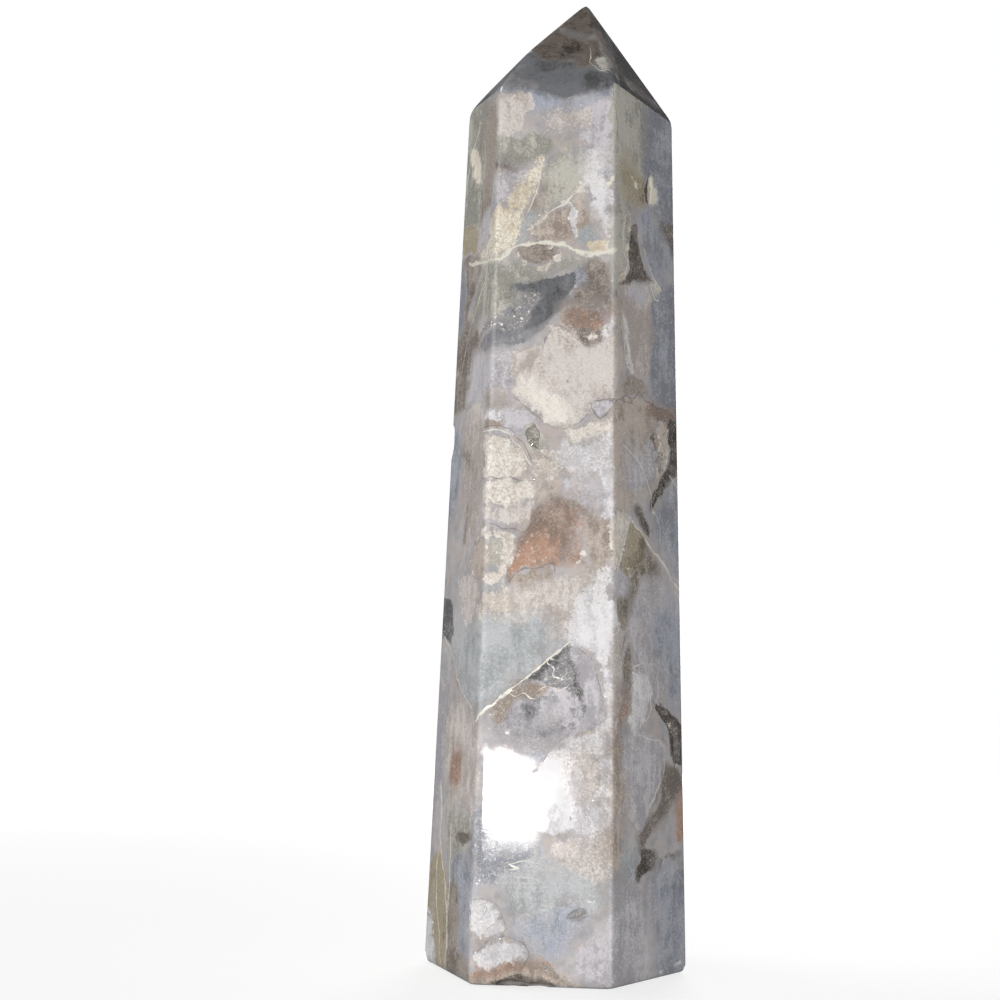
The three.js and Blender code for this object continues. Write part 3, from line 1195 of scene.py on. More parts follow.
    ), tone=1, soft=2, cover=0.85),
    Patch("green foot of the eye", AQUA, (
        (474, 584), (492, 586), (504, 580), (508, 586), (494, 592), (478, 590),
    ), soft=1.5),
    Patch("pink field", BLUSH, (
        (520, 586), (544, 578), (576, 574), (596, 572), (584, 600), (570, 624), (560, 642), (544, 630),
        (528, 612),
    ), tone=-0.5, soft=2, sugar=0.2),
    Patch("brown below the window", TAN, (
        (512, 580), (522, 573), (536, 570), (552, 568), (556, 575), (546, 582), (534, 582), (522, 587),
    ), tone=-0.5, soft=2),
    Patch("feathered plume", PEARL, (
        (618, 562), (604, 572), (598, 582), (588, 594), (578, 600), (572, 612), (569, 628), (570, 643),
        (584, 646), (596, 656), (604, 676), (608, 700), (608, 724), (618, 730),
    ), tone=0.1),
    Patch("plume's feathers", PEARL, (
        (618, 560), (604, 568), (596, 580), (584, 592), (575, 600), (569, 614), (566, 634), (569, 644),
        (582, 622), (598, 602), (618, 586),
    ), tone=0.3, soft=1.5, sugar=0.6),
    Streak("white edge of the plume", PEARL, 0.7, (
        (598, 660), (604, 684), (607, 712), (608, 736),
    ), tone=0.2, soft=2),
    Patch("cream field", CREAM, (
        (468, 594), (486, 590), (508, 590), (530, 594), (536, 604), (520, 614), (498, 620), (474, 616),
    ), tone=-0.6, soft=3, cover=0.75, sugar=0.2),
    Patch("aqua field", AQUA, (
        (468, 622), (500, 618), (534, 612), (554, 628), (568, 642), (552, 656), (528, 674), (506, 692),
        (486, 706), (472, 714), (462, 680), (460, 650),
    ), soft=3.5),
    Patch("grey of the cloud", LILAC, (
        (569, 645), (553, 656), (531, 673), (508, 692), (494, 704), (490, 726), (496, 740), (514, 752),
        (536, 750), (560, 742), (584, 732), (602, 722), (606, 708), (598, 676), (590, 657), (579, 648),
    ), tone=-1, sugar=0.3),
    Patch("dark cloud", SLATE, (
        (569, 645), (553, 656), (531, 673), (520, 684), (536, 692), (552, 688), (566, 692), (580, 700),
        (586, 690), (578, 676), (574, 660),
    ), tone=0.7, soft=1.2, cover=0.8, sugar=0.5, sparks=0.35),
    Streak("dark rim of the cloud", SLATE, 0.6, (
        (566, 648), (556, 658), (541, 670), (530, 679),
    ), tone=-0.6, soft=2, cover=0.8),
    Patch("mauve cloud", SLATE, (
        (512, 700), (530, 692), (548, 690), (566, 694), (584, 698), (598, 706), (602, 718), (592, 728),
        (572, 732), (556, 738), (536, 738), (516, 732), (504, 720),
    ), tone=0.6, soft=2, cover=0.55, sugar=0.4),
    Patch("red brown cloud", TAN, (
        (494, 722), (490, 708), (500, 699), (512, 688), (530, 680), (544, 684), (548, 693), (534, 699),
        (518, 702), (508, 712), (502, 726),
    ), tone=-1, soft=1.6, cover=0.8, sugar=0.4),
    Patch("purple blob", SLATE, (
        (516, 706), (524, 700), (534, 702), (542, 710), (540, 720), (530, 725), (520, 722),
    ), tone=0.3, soft=2.5, cover=0.85),
    Streak("dark branch", SLATE, 0.35, (
        (572, 660), (577, 674), (576, 684), (583, 692), (581, 700),
    ), tone=-0.7, soft=1.5, sugar=0.6),
    Patch("grey arc", LILAC, (
        (576, 656), (588, 660), (595, 674), (600, 692), (603, 708), (598, 722), (584, 731), (572, 734),
        (584, 716), (586, 700), (580, 680),
    ), tone=-0.4, soft=1.5),
    Patch("below the dark cloud", MIST, (
        (496, 744), (520, 754), (544, 750), (542, 762), (524, 772), (506, 766),
    ), tone=0.6, soft=2, sugar=0.9),
    Patch("right white field", PEARL, (
        (550, 756), (566, 744), (584, 736), (606, 731), (612, 760), (612, 800), (602, 832), (586, 840),
        (572, 828), (562, 800),
    ), tone=-0.1, sugar=1),
    Patch("pink in the white field", BLUSH, (
        (576, 754), (588, 750), (600, 762), (600, 790), (590, 806), (580, 790),
    ), tone=0.2, soft=3, cover=0.7, sugar=1),
    # Painted highlight: the whitest pearl lies where the lamp's glare falls on the front flat, widening the
    # real reflection.
    Patch("painted white of the glare", PEARL, (
        (483, 744), (494, 752), (505, 767), (520, 775), (532, 772), (542, 762), (553, 756), (562, 766),
        (564, 785), (568, 800), (574, 816), (570, 830), (556, 838), (540, 832), (526, 822), (510, 814),
        (498, 806), (488, 798), (484, 775),
    ), tone=1, sugar=0),
    Patch("blue mottle", MIST, (
        (470, 806), (492, 806), (514, 820), (534, 836), (536, 856), (520, 878), (498, 884), (474, 880),
        (468, 850),
    ), tone=-0.8, soft=2, sugar=0.5),
    Patch("peach specks", BLUSH, (
        (556, 844), (576, 836), (598, 842), (610, 860), (608, 882), (590, 880), (570, 868), (556, 858),
    ), tone=0.6, soft=2, cover=0.7, sugar=1),
    Patch("aqua white", AQUA, (
        (500, 880), (524, 862), (552, 860), (580, 872), (602, 890), (596, 908), (574, 922), (548, 926),
        (524, 922), (508, 906),
    ), tone=0.1, soft=3, sugar=0.2),
    Patch("grey lower field", MIST, (
        (528, 914), (560, 904), (590, 906), (580, 926), (568, 944), (556, 960), (540, 956), (524, 944),
        (516, 930),
    ), tone=1, soft=3, sugar=0.2),
    Patch("upper white plume", PEARL, (
        (464, 908), (472, 902), (484, 901), (495, 908), (500, 918), (502, 930), (492, 938), (478, 937),
        (466, 930),
    ), tone=-0.2, soft=1.3, sugar=0.4),
    Patch("lower white plume", PEARL, (
        (474, 956), (484, 948), (500, 941), (516, 944), (526, 954), (520, 964), (500, 967), (482, 969),
    ), soft=1.3, sugar=0.4),
    Spot("small pit", SLATE, (578, 917), 20, 8, -28, tone=1, soft=2),
    Patch("pink lobe", LILAC, (
        (572, 958), (582, 945), (600, 936), (618, 932), (636, 944), (640, 968), (630, 984), (606, 985),
        (584, 978), (572, 970),
    ), tone=-0.1, soft=2.5),
    Patch("brown foot", TAN, (
        (458, 976), (474, 970), (490, 965), (506, 961), (524, 958), (540, 959), (552, 964), (562, 972),
        (574, 981), (588, 989), (574, 994), (540, 992), (500, 994), (458, 992),
    ), tone=0.3, soft=1.6),
    Streak("orange in the foot", CARNELIAN, 0.9, (
        (472, 977), (490, 971), (508, 967), (526, 965), (541, 967), (552, 973),
    ), soft=1.8, cover=0.85),
    Streak("dark side of the foot", BARK, 0.5, (
        (541, 968), (551, 973), (561, 980), (574, 987),
    ), tone=-0.6, soft=1.5, sugar=0.8),
    # Partly painted shade: this grey umber lies in the bite under the front of the foot, over the stone's own
    # grey.
    Patch("shade in the foot's bite", UMBER, (
        (478, 988), (490, 981), (503, 976), (517, 974), (532, 976), (548, 980), (560, 988), (560, 998),
        (510, 998), (470, 996),
    ), tone=0.8, soft=1.5),
)

LEFT_MARKINGS = (
    Patch("upper left grey", SAGE, (
        (455, 118), (486, 96), (490, 150), (486, 240), (474, 250), (452, 200),
    ), tone=-0.7, soft=2),
    Patch("upper stripe", BARK, (
        (488, 108), (497, 104), (496, 150), (494, 180), (490, 210), (486, 245), (478, 250), (481, 210),
        (485, 170), (485, 130),
    ), tone=0.7, soft=1.5),
    Patch("white by the crust", LILAC, (
        (484, 214), (492, 208), (488, 240), (478, 254), (476, 244),
    ), tone=0.3, soft=2, sugar=0.8),
    Patch("ochre corner", OLIVE, (
        (462, 232), (470, 226), (478, 230), (478, 246), (472, 262), (464, 254),
    ), tone=1),
    Patch("brown wall", BARK, (
        (462, 262), (480, 256), (482, 274), (474, 296), (468, 318), (478, 332), (480, 352), (472, 372),
        (460, 378), (456, 340),
    ), tone=-0.5, soft=1.5),
    Patch("blue edge of the wall", MIST, (
        (458, 268), (464, 264), (467, 290), (464, 326), (458, 334),
    ), tone=-1, soft=1.6),
    Streak("wisp in the wall", MIST, 0.4, ((474, 356), (471, 366), (472, 378)), tone=0.4, soft=1.6),
    Patch("grey streak", SAGE, (
        (480, 276), (488, 270), (488, 300), (482, 316), (474, 334), (473, 310),
    ), tone=-0.5, soft=2),
    Patch("olive wall", BARK, (
        (452, 384), (462, 376), (472, 382), (472, 398), (464, 410), (450, 414),
    ), tone=-0.2, soft=1.8),
    Patch("pale wall", LILAC, (
        (474, 350), (486, 356), (484, 400), (474, 412), (466, 400), (472, 376),
    ), soft=3),
    Patch("pink lump", BLUSH, (
        (468, 408), (478, 402), (484, 414), (482, 452), (474, 456), (468, 436),
    ), tone=0.1, soft=1.4),
    Spot("dark end of the lump", UMBER, (478, 466), 9, 15, tone=0.7, soft=1.6),
    Patch("lavender wall", MIST, (
        (438, 440), (456, 430), (462, 452), (458, 490), (452, 520), (440, 530), (432, 490),
    ), tone=-0.1, soft=1.5),
    Patch("pink wall", BLUSH, (
        (466, 420), (476, 412), (484, 430), (482, 480), (478, 530), (470, 540), (464, 500), (464, 450),
    ), tone=-0.8, soft=2),
    Streak("brown stripe", BARK, 0.9, ((462, 450), (474, 470), (470, 500), (464, 540)), soft=2),
    Streak("blue stripe", MIST, 0.5, ((473, 478), (471, 492), (470, 506)), soft=1.5),
    Patch("tan lobe", TAN, (
        (474, 544), (480, 538), (488, 542), (490, 560), (486, 576), (478, 580), (472, 564),
    ), tone=0.7, soft=1.2),
    Streak("rim of the lobe", CREAM, 0.3, (
        (482, 536), (474, 544), (471, 562), (474, 580),
    ), tone=-0.8, soft=1.4),
    Patch("feathered wall", BLUSH, (
        (462, 578), (472, 576), (478, 584), (476, 606), (470, 624), (464, 620), (460, 600),
    ), tone=0.2, soft=1.3, sugar=0.3),
    Streak("white rim of the feathers", PEARL, 0.35, (
        (458, 578), (460, 594), (463, 610), (467, 626),
    ), tone=-0.6, soft=1.3),
    Patch("slate wedge", SLATE, (
        (438, 602), (446, 597), (452, 602), (453, 618), (454, 636), (454, 650), (446, 638), (438, 630),
    ), tone=-1),
    Streak("pale seam of the wedge", AQUA, 0.4, ((456, 604), (456, 624), (458, 642)), tone=0.4, soft=1.5),
    Patch("white strip", AQUA, (
        (452, 640), (462, 630), (472, 650), (476, 700), (470, 712), (462, 690), (456, 664),
    ), tone=0.2, soft=2),
    Patch("grey wall", LILAC, (
        (428, 660), (446, 650), (450, 690), (446, 740), (440, 800), (424, 800), (424, 720),
    ), tone=-1, soft=2),
    Patch("peach wall", BLUSH, (
        (450, 706), (464, 700), (476, 716), (478, 760), (476, 800), (470, 822), (456, 800), (446, 770),
        (446, 730),
    ), tone=-0.6, soft=2),
    Patch("orange streak", CARNELIAN, (
        (452, 752), (460, 748), (463, 760), (460, 780), (455, 790), (449, 780),
    ), tone=-0.1, soft=2.5),
    Patch("green grey wall", SAGE, (
        (446, 800), (458, 806), (470, 822), (468, 848), (454, 860), (446, 840),
    ), tone=-0.4, soft=3),
    Spot("smudge", UMBER, (464, 837), 17, 15, tone=0.9, soft=1.8),
    Patch("grey foot", MIST, (
        (452, 862), (466, 850), (474, 880), (468, 930), (466, 985), (448, 972), (450, 920),
    ), tone=-0.5, soft=2),
    Patch("brown strip of the foot", BARK, (
        (447, 886), (456, 880), (460, 910), (459, 944), (467, 960), (469, 985), (446, 978), (446, 930),
    ), tone=0.2, soft=2),
    Patch("olive fill", OLIVE, (
        (430, 866), (440, 850), (446, 880), (446, 930), (444, 970), (434, 966), (428, 930), (428, 890),
    ), tone=0.6),
    Patch("pale aqua foot", PEARL, (
        (412, 920), (430, 910), (434, 950), (434, 975), (416, 966),
    ), tone=0.1, soft=2),
    Patch("yellow flake", STRAW, (
        (470, 150), (476, 149), (481, 166), (481, 182), (475, 181), (471, 165),
    ), tone=1),
)

RIGHT_MARKINGS = (
    Patch("grey green top", SAGE, (
        (614, 84), (636, 92), (650, 110), (652, 150), (640, 180), (618, 200), (610, 150),
    ), tone=0.6, soft=2),
    # Partly painted reflection: bluish grey on the far strip of the right flat, the stone's grey with a
    # painted sheen of reflected room light.
    Patch("blue edge", MIST, (
        (648, 104), (700, 120), (705, 260), (672, 260), (652, 220), (642, 160),
    ), tone=-0.8, soft=2.5),
    Patch("grey middle", MIST, (
        (640, 210), (662, 214), (670, 260), (664, 290), (652, 280), (644, 250),
    ), tone=0.1, soft=3),
    Patch("olive stain", OLIVE, (
        (620, 160), (630, 158), (640, 174), (648, 186), (650, 202), (640, 208), (628, 200), (621, 184),
    ), tone=1, soft=4, cover=0.75),
    Patch("stain by the hole", OLIVE, (
        (636, 182), (646, 180), (648, 196), (644, 206), (637, 196),
    ), tone=0.3, soft=2.5, cover=0.8),
    Streak("flake", STRAW, 0.6, ((632, 178), (637, 186)), tone=1),
    Streak("flake on the edge", STRAW, 0.35, ((613, 176), (609, 185)), tone=0.6),
    # Painted shadow: dark umber in the left of the flaked hole, where shade falls inside it.
    Patch("shadow in the hole", UMBER, ((645, 184), (649, 178), (650, 190), (648, 203), (644, 198)), tone=-1),
    Patch("flake in the hole", STRAW, (
        (650, 178), (653, 178), (656, 190), (658, 204), (650, 205), (648, 200),
    ), tone=1, sugar=0.3),
    Patch("green rim", SAGE, (
        (612, 206), (626, 208), (631, 226), (629, 252), (625, 276), (616, 288), (611, 282),
    ), tone=0.5, soft=2),
    Streak("yellow rim", STRAW, 0.4, (
        (627, 216), (628, 240), (626, 262), (621, 278),
    ), tone=-1, soft=2, cover=0.6),
    Patch("dark window", UMBER, (
        (632, 226), (637, 226), (637, 240), (642, 260), (646, 274), (652, 282), (638, 281), (630, 284),
        (624, 289), (620, 284), (626, 275), (629, 268), (628, 255), (629, 240),
    ), tone=-0.1),
    Patch("red stain", BARK, (
        (660, 222), (676, 226), (690, 250), (690, 275), (676, 262), (668, 244),
    ), tone=-0.7, soft=3),
    Patch("white flake", STRAW, (
        (652, 280), (656, 282), (661, 296), (659, 303), (654, 295),
    ), tone=1, sugar=0.7),
    # Partly painted reflection: bluish grey on the far strip of the right flat, the stone's grey with a
    # painted sheen of reflected room light.
    Patch("sheen on the lower right", MIST, (
        (650, 300), (680, 280), (700, 300), (700, 410), (676, 414), (656, 404), (648, 370), (652, 330),
    ), tone=-0.6, soft=2.5),
    Patch("pinkish grey", BLUSH, (
        (618, 290), (636, 284), (650, 292), (652, 340), (648, 380), (632, 376), (624, 340),
    ), tone=-0.9, soft=2.5),
    Patch("pale below the window", LILAC, (
        (626, 290), (640, 284), (648, 294), (644, 306), (632, 302),
    ), tone=0.7, soft=2),
    Streak("warm strip", TAN, 1.1, ((616, 300), (617, 330), (619, 360), (620, 386)), tone=0.7, soft=2.5),
    Streak("rough streak", PEARL, 0.7, (
        (624, 318), (627, 340), (629, 356), (632, 370),
    ), tone=1, soft=1.5, sugar=1),
    Patch("brown olive", BARK, (
        (620, 382), (632, 374), (642, 380), (650, 396), (640, 398), (626, 396),
    ), tone=0.2, soft=2.5),
    Patch("tan plume", TAN, (
        (614, 402), (632, 396), (648, 402), (656, 420), (652, 440), (656, 470), (650, 492), (640, 500),
        (626, 512), (614, 512), (612, 450),
    ), tone=0.5, soft=1.5),
    Patch("pink in the tan plume", LILAC, (
        (624, 450), (640, 452), (650, 476), (642, 494), (630, 490),
    ), tone=0.2, soft=4),
    Patch("orange mouth", CARNELIAN, (
        (650, 404), (662, 407), (674, 410), (690, 420), (690, 432), (676, 428), (666, 424), (656, 418),
        (648, 412),
    ), tone=-0.9, soft=2),
    Patch("crevice", UMBER, (
        (668, 420), (680, 424), (694, 440), (686, 462), (674, 477), (665, 490), (657, 501), (652, 512),
        (650, 500), (657, 486), (665, 472), (669, 456), (667, 436),
    ), tone=-0.4),
    Patch("lump in the crevice", CREAM, (
        (656, 426), (664, 422), (668, 438), (668, 458), (662, 473), (655, 480), (653, 466), (659, 452),
        (655, 440),
    ), tone=-1, soft=1.3, sugar=0.3),
    Spot("small pit in the lump", UMBER, (653, 443), 8, 14, tone=1, soft=1.4, sugar=0.3),
    Patch("rough grey", LILAC, (
        (644, 440), (656, 446), (660, 460), (652, 478), (645, 468),
    ), tone=0.2, soft=1.5, sugar=1),
    # Partly painted reflection: bluish grey on the far strip of the right flat, the stone's grey with a
    # painted sheen of reflected room light.
    Patch("sheen on the right wall", MIST, (
        (658, 508), (684, 470), (700, 480), (705, 600), (684, 590), (668, 560), (654, 530),
    ), soft=3),
    Patch("tan strip", CREAM, (
        (612, 516), (630, 514), (630, 528), (624, 546), (618, 572), (611, 568),
    ), tone=-0.7, soft=1.5),
    Patch("olive window", OLIVE, (
        (631, 522), (642, 534), (650, 550), (656, 562), (658, 572), (646, 574), (632, 578), (620, 568),
        (625, 545),
    )),
    Patch("red side of the window", BARK, (
        (648, 552), (658, 566), (658, 574), (648, 574), (646, 562),
    ), tone=-0.8, soft=2.5),
    Patch("dark top of the window", UMBER, (
        (634, 508), (640, 506), (648, 524), (650, 536), (642, 528),
    ), soft=1.5),
    Spot("upper cream dot", CREAM, (628, 568), 4, 4, tone=1),
    Spot("lower cream dot", CREAM, (629, 575), 3, 3, tone=1),
    Patch("brown streak", BARK, (
        (636, 570), (640, 574), (636, 600), (629, 618), (625, 632), (619, 625), (616, 600), (624, 586),
    )),
    Patch("grey below the brown", LILAC, (
        (612, 572), (628, 576), (629, 592), (620, 600), (612, 596),
    ), tone=0.1, soft=1.5, sugar=0.4),
    Patch("pink wall right", LILAC, (
        (638, 592), (652, 578), (664, 590), (672, 640), (666, 690), (650, 704), (636, 680), (632, 640),
        (630, 612),
    ), tone=-0.1, soft=2.5, sugar=0.4),
    # Partly painted reflection: bluish grey on the far strip of the right flat, the stone's grey with a
    # painted sheen of reflected room light.
    Patch("blue cloud", MIST, (
        (654, 606), (690, 600), (704, 640), (704, 700), (672, 704), (660, 670), (650, 640),
    ), tone=0.3, soft=4),
    Patch("pale strip by the edge", BLUSH, (
        (611, 634), (624, 630), (624, 660), (622, 700), (612, 730), (610, 680),
    ), tone=-0.6, soft=2, sugar=0.4),
    Patch("lower brown streak", BARK, (
        (627, 640), (632, 654), (631, 680), (634, 696), (626, 690), (622, 676), (624, 656),
    ), tone=-0.6, soft=1.5),
    Patch("orange foot of the streak", CARNELIAN, (
        (624, 688), (634, 694), (630, 706), (624, 722), (620, 740), (616, 724), (620, 704),
    ), tone=-0.6, soft=2.5),
    Patch("aqua strip", PEARL, (
        (634, 680), (644, 672), (654, 688), (650, 706), (640, 730), (630, 734), (630, 712),
    ), tone=0.1, soft=2),
    Patch("pale plume right", LILAC, (
        (622, 742), (640, 734), (656, 736), (668, 752), (664, 780), (652, 806), (644, 832), (632, 820),
        (624, 790),
    ), tone=0.1, soft=1.5, sugar=0.4),
    Patch("dark cleft", UMBER, (
        (654, 706), (662, 704), (672, 714), (682, 724), (694, 742), (686, 764), (672, 756), (669, 734),
        (662, 720),
    ), tone=-0.5),
    Patch("brown below the cleft", BARK, (
        (664, 766), (678, 768), (682, 788), (672, 808), (660, 822), (648, 838), (642, 852), (638, 836),
        (648, 820), (660, 800),
    ), tone=-0.7, soft=1.5),
    Patch("smooth dark patch", UMBER, (
        (641, 851), (650, 849), (658, 857), (650, 869), (640, 877), (638, 885), (633, 877), (633, 867),
        (640, 862),
    ), tone=-0.1),
    Streak("dark branch right", UMBER, 0.4, (
        (656, 860), (663, 866), (668, 856), (679, 854),
    ), tone=0.4, soft=1.5),
    Patch("edge strip", TAN, (
        (608, 736), (622, 738), (624, 800), (622, 860), (606, 860), (608, 800),
    ), tone=0.3, soft=3),
    Patch("aqua beside the patch", AQUA, (
        (622, 850), (634, 842), (636, 868), (636, 890), (626, 896), (620, 870),
    ), soft=2),
    Patch("pink foot", LILAC, (
        (612, 884), (634, 880), (644, 900), (646, 950), (642, 985), (612, 992), (610, 930),
    ), tone=-0.6, soft=2.5),
    Streak("lavender strip", LILAC, 0.8, (
        (640, 892), (642, 920), (646, 950), (644, 985),
    ), tone=-0.1, soft=2),
    # Partly painted reflection: bluish grey on the far strip of the right flat, the stone's grey with a
    # painted sheen of reflected room light.
    Patch("sheen at the right foot", MIST, (
        (650, 880), (672, 858), (705, 862), (705, 985), (660, 988), (654, 930),
    ), tone=-0.1, soft=3),
    Spot("bruise on the corner", PEARL, (677, 964), 7, 5, -30, tone=-0.4),
    Spot("speck at the foot", PEARL, (661, 971), 3, 3),
)

LINES = (
    Line(PALE, 0.14, ((626, 214), (624, 231), (623, 249), (628, 263), (622, 274), (619, 283))),
    Line(PALE, 0.16, ((651, 283), (656, 288), (659, 301), (654, 297), (651, 287))),
    Line(PALE, 0.12, ((624, 318), (627, 334), (629, 350), (628, 362), (632, 371))),
    Line(PALE, 0.1, ((620, 320), (624, 340), (625, 356), (629, 369))),
    Line(DARK, 0.14, ((650, 437), (656, 435), (658, 442), (656, 450), (650, 449), (649, 442), (651, 437))),
    Line(DARK, 0.16, ((654, 415), (664, 425), (665, 432), (661, 439), (667, 457), (666, 471), (658, 485))),
    Line(PALE, 0.1, ((654, 510), (659, 526), (660, 542))),
    Line(PALE, 0.14, ((616, 600), (617, 615), (621, 631))),
    Line(DARK, 0.14, ((625, 636), (622, 656), (625, 675), (622, 693))),
    Line(DARK, 0.14, ((650, 690), (654, 702), (660, 709))),
    Line(PALE, 0.12, ((632, 668), (644, 665), (648, 684), (651, 706), (646, 727))),
    Line(DARK, 0.14, ((611, 729), (619, 738), (620, 756), (623, 779), (623, 811))),
    Line(PALE, 0.07, ((508, 864), (522, 863), (536, 864))),
    Line(PALE, 0.06, ((509, 870), (520, 869))),
    Line(PALE, 0.07, ((512, 876), (534, 877))),
    Line(PALE, 0.07, ((516, 885), (534, 888))),
    Line(DARK, 0.12, (
        (462, 916), (468, 905), (480, 899), (494, 903), (502, 914), (504, 929), (495, 940), (478, 941),
    )),
    Line(DARK, 0.1, ((474, 926), (483, 918), (487, 907))),
    Line(DARK, 0.1, ((484, 933), (492, 924), (500, 920))),
    Line(DARK, 0.12, ((474, 952), (486, 944), (500, 938), (516, 941), (529, 953), (522, 966))),
    Line(DARK, 0.12, ((541, 350), (546, 336), (556, 327), (570, 331), (580, 340))),
    Line(DARK, 0.1, ((516, 398), (532, 413), (548, 424), (562, 429), (578, 422), (590, 412))),
    Line(PALE, 0.09, ((547, 664), (554, 667), (552, 674), (560, 678), (566, 674))),
    Line(PALE, 0.09, ((540, 690), (548, 686), (556, 690), (566, 687))),
    Line(PALE, 0.09, ((508, 694), (516, 698), (524, 694), (532, 698))),
    Line(PALE, 0.5, (
        (470, 264), (480, 263), (496, 259), (508, 252), (516, 246), (532, 243), (545, 242), (560, 244),
        (580, 251), (596, 254), (616, 249),
    )),
    Line(PALE, 0.12, ((588, 182), (578, 192), (568, 200), (550, 214), (530, 228))),
    Line(PALE, 0.14, ((570, 200), (574, 216), (576, 236))),
    Line(PALE, 0.1, ((542, 168), (538, 182), (534, 196), (529, 212))),
    Line(DARK, 0.14, ((590, 404), (598, 401), (614, 399), (630, 403), (634, 398))),
    Line(DARK, 0.14, ((590, 404), (592, 412), (598, 419), (606, 414), (615, 404))),
    Line(DARK, 0.14, ((484, 428), (497, 426), (511, 430), (523, 444), (533, 460))),
    Line(PALE, 0.12, ((484, 432), (497, 430), (509, 434), (520, 447), (530, 463))),
    Line(DARK, 0.12, ((484, 478), (500, 476), (516, 479), (536, 480))),
    Line(DARK, 0.12, ((488, 524), (500, 528), (514, 530), (524, 532), (530, 526), (533, 512))),
    Line(DARK, 0.14, ((508, 582), (518, 573), (526, 569), (536, 568), (546, 564), (554, 564), (554, 570))),
    Line(PALE, 0.2, (
        (476, 722), (488, 708), (500, 698), (512, 689), (524, 679), (536, 670), (548, 660), (560, 650),
        (569, 643),
    )),
    Line(DARK, 0.14, (
        (579, 648), (590, 658), (597, 676), (600, 692), (605, 708), (602, 722), (584, 733), (564, 742),
        (548, 756), (536, 768), (520, 774),
    )),
    Line(DARK, 0.13, ((613, 84), (614, 99), (618, 118), (617, 136))),
    Line(DARK, 0.16, ((634, 92), (640, 108), (641, 124), (646, 136))),
    Line(PALE, 0.14, ((640, 236), (645, 254), (650, 270), (657, 284))),
    Line(DARK, 0.13, ((636, 226), (637, 240), (642, 260), (647, 274), (653, 283))),
    Line(PALE, 0.24, ((630, 518), (639, 529), (649, 544), (661, 562), (672, 579), (682, 592), (690, 602))),
    Line(PALE, 0.14, ((631, 518), (626, 536), (621, 556), (618, 574))),
    Line(PALE, 0.1, ((624, 446), (639, 463), (649, 486), (653, 514))),
    Line(DARK, 0.22, (
        (612, 402), (626, 396), (634, 399), (639, 392), (646, 402), (655, 407), (664, 411), (674, 418),
    )),
    Line(DARK, 0.12, ((664, 738), (668, 756), (664, 782), (652, 808), (643, 836))),
    Line(PALE, 0.12, ((640, 736), (657, 740), (666, 752), (662, 780), (650, 806))),
    Line(PALE, 0.12, ((442, 632), (452, 653), (458, 680), (464, 696), (472, 708))),
    # Partly painted highlight: these three pale lines low on the left flat are golden veins, drawn pale where
    # light catches them.
    Line(PALE, 0.34, ((441, 785), (442, 811), (440, 840), (443, 865), (447, 919), (445, 962))),
    Line(PALE, 0.24, ((451, 829), (449, 883), (447, 927))),
    Line(PALE, 0.24, ((440, 840), (436, 880), (438, 920), (440, 962))),
    Line(PALE, 0.14, ((470, 528), (466, 545), (460, 570))),
    Line(DARK, 0.14, ((482, 128), (480, 150), (478, 170))),
    Line(PALE, 0.12, ((486, 276), (476, 310), (470, 330), (462, 372))),
)

CROWN_LINES = (
    Line(PALE, 0.1, ((590, 50), (591, 62), (600, 70), (612, 72))),
)


# Markings of the sides that the photograph doesn't show


@dataclass(frozen=True)
class Grown:
    """A marking in a chart's own millimetres: a closed outline, or a route with a width."""

    ground: Ground
    places: np.ndarray
    mineral: Mineral | None = None
    seam: Seam | None = None
    width: float = 0.0
    tone: float = 0.0
    soft: float = 1.0
    cover: float = 1.0
    sugar: float = 0.1
    sparks: float = 0.0


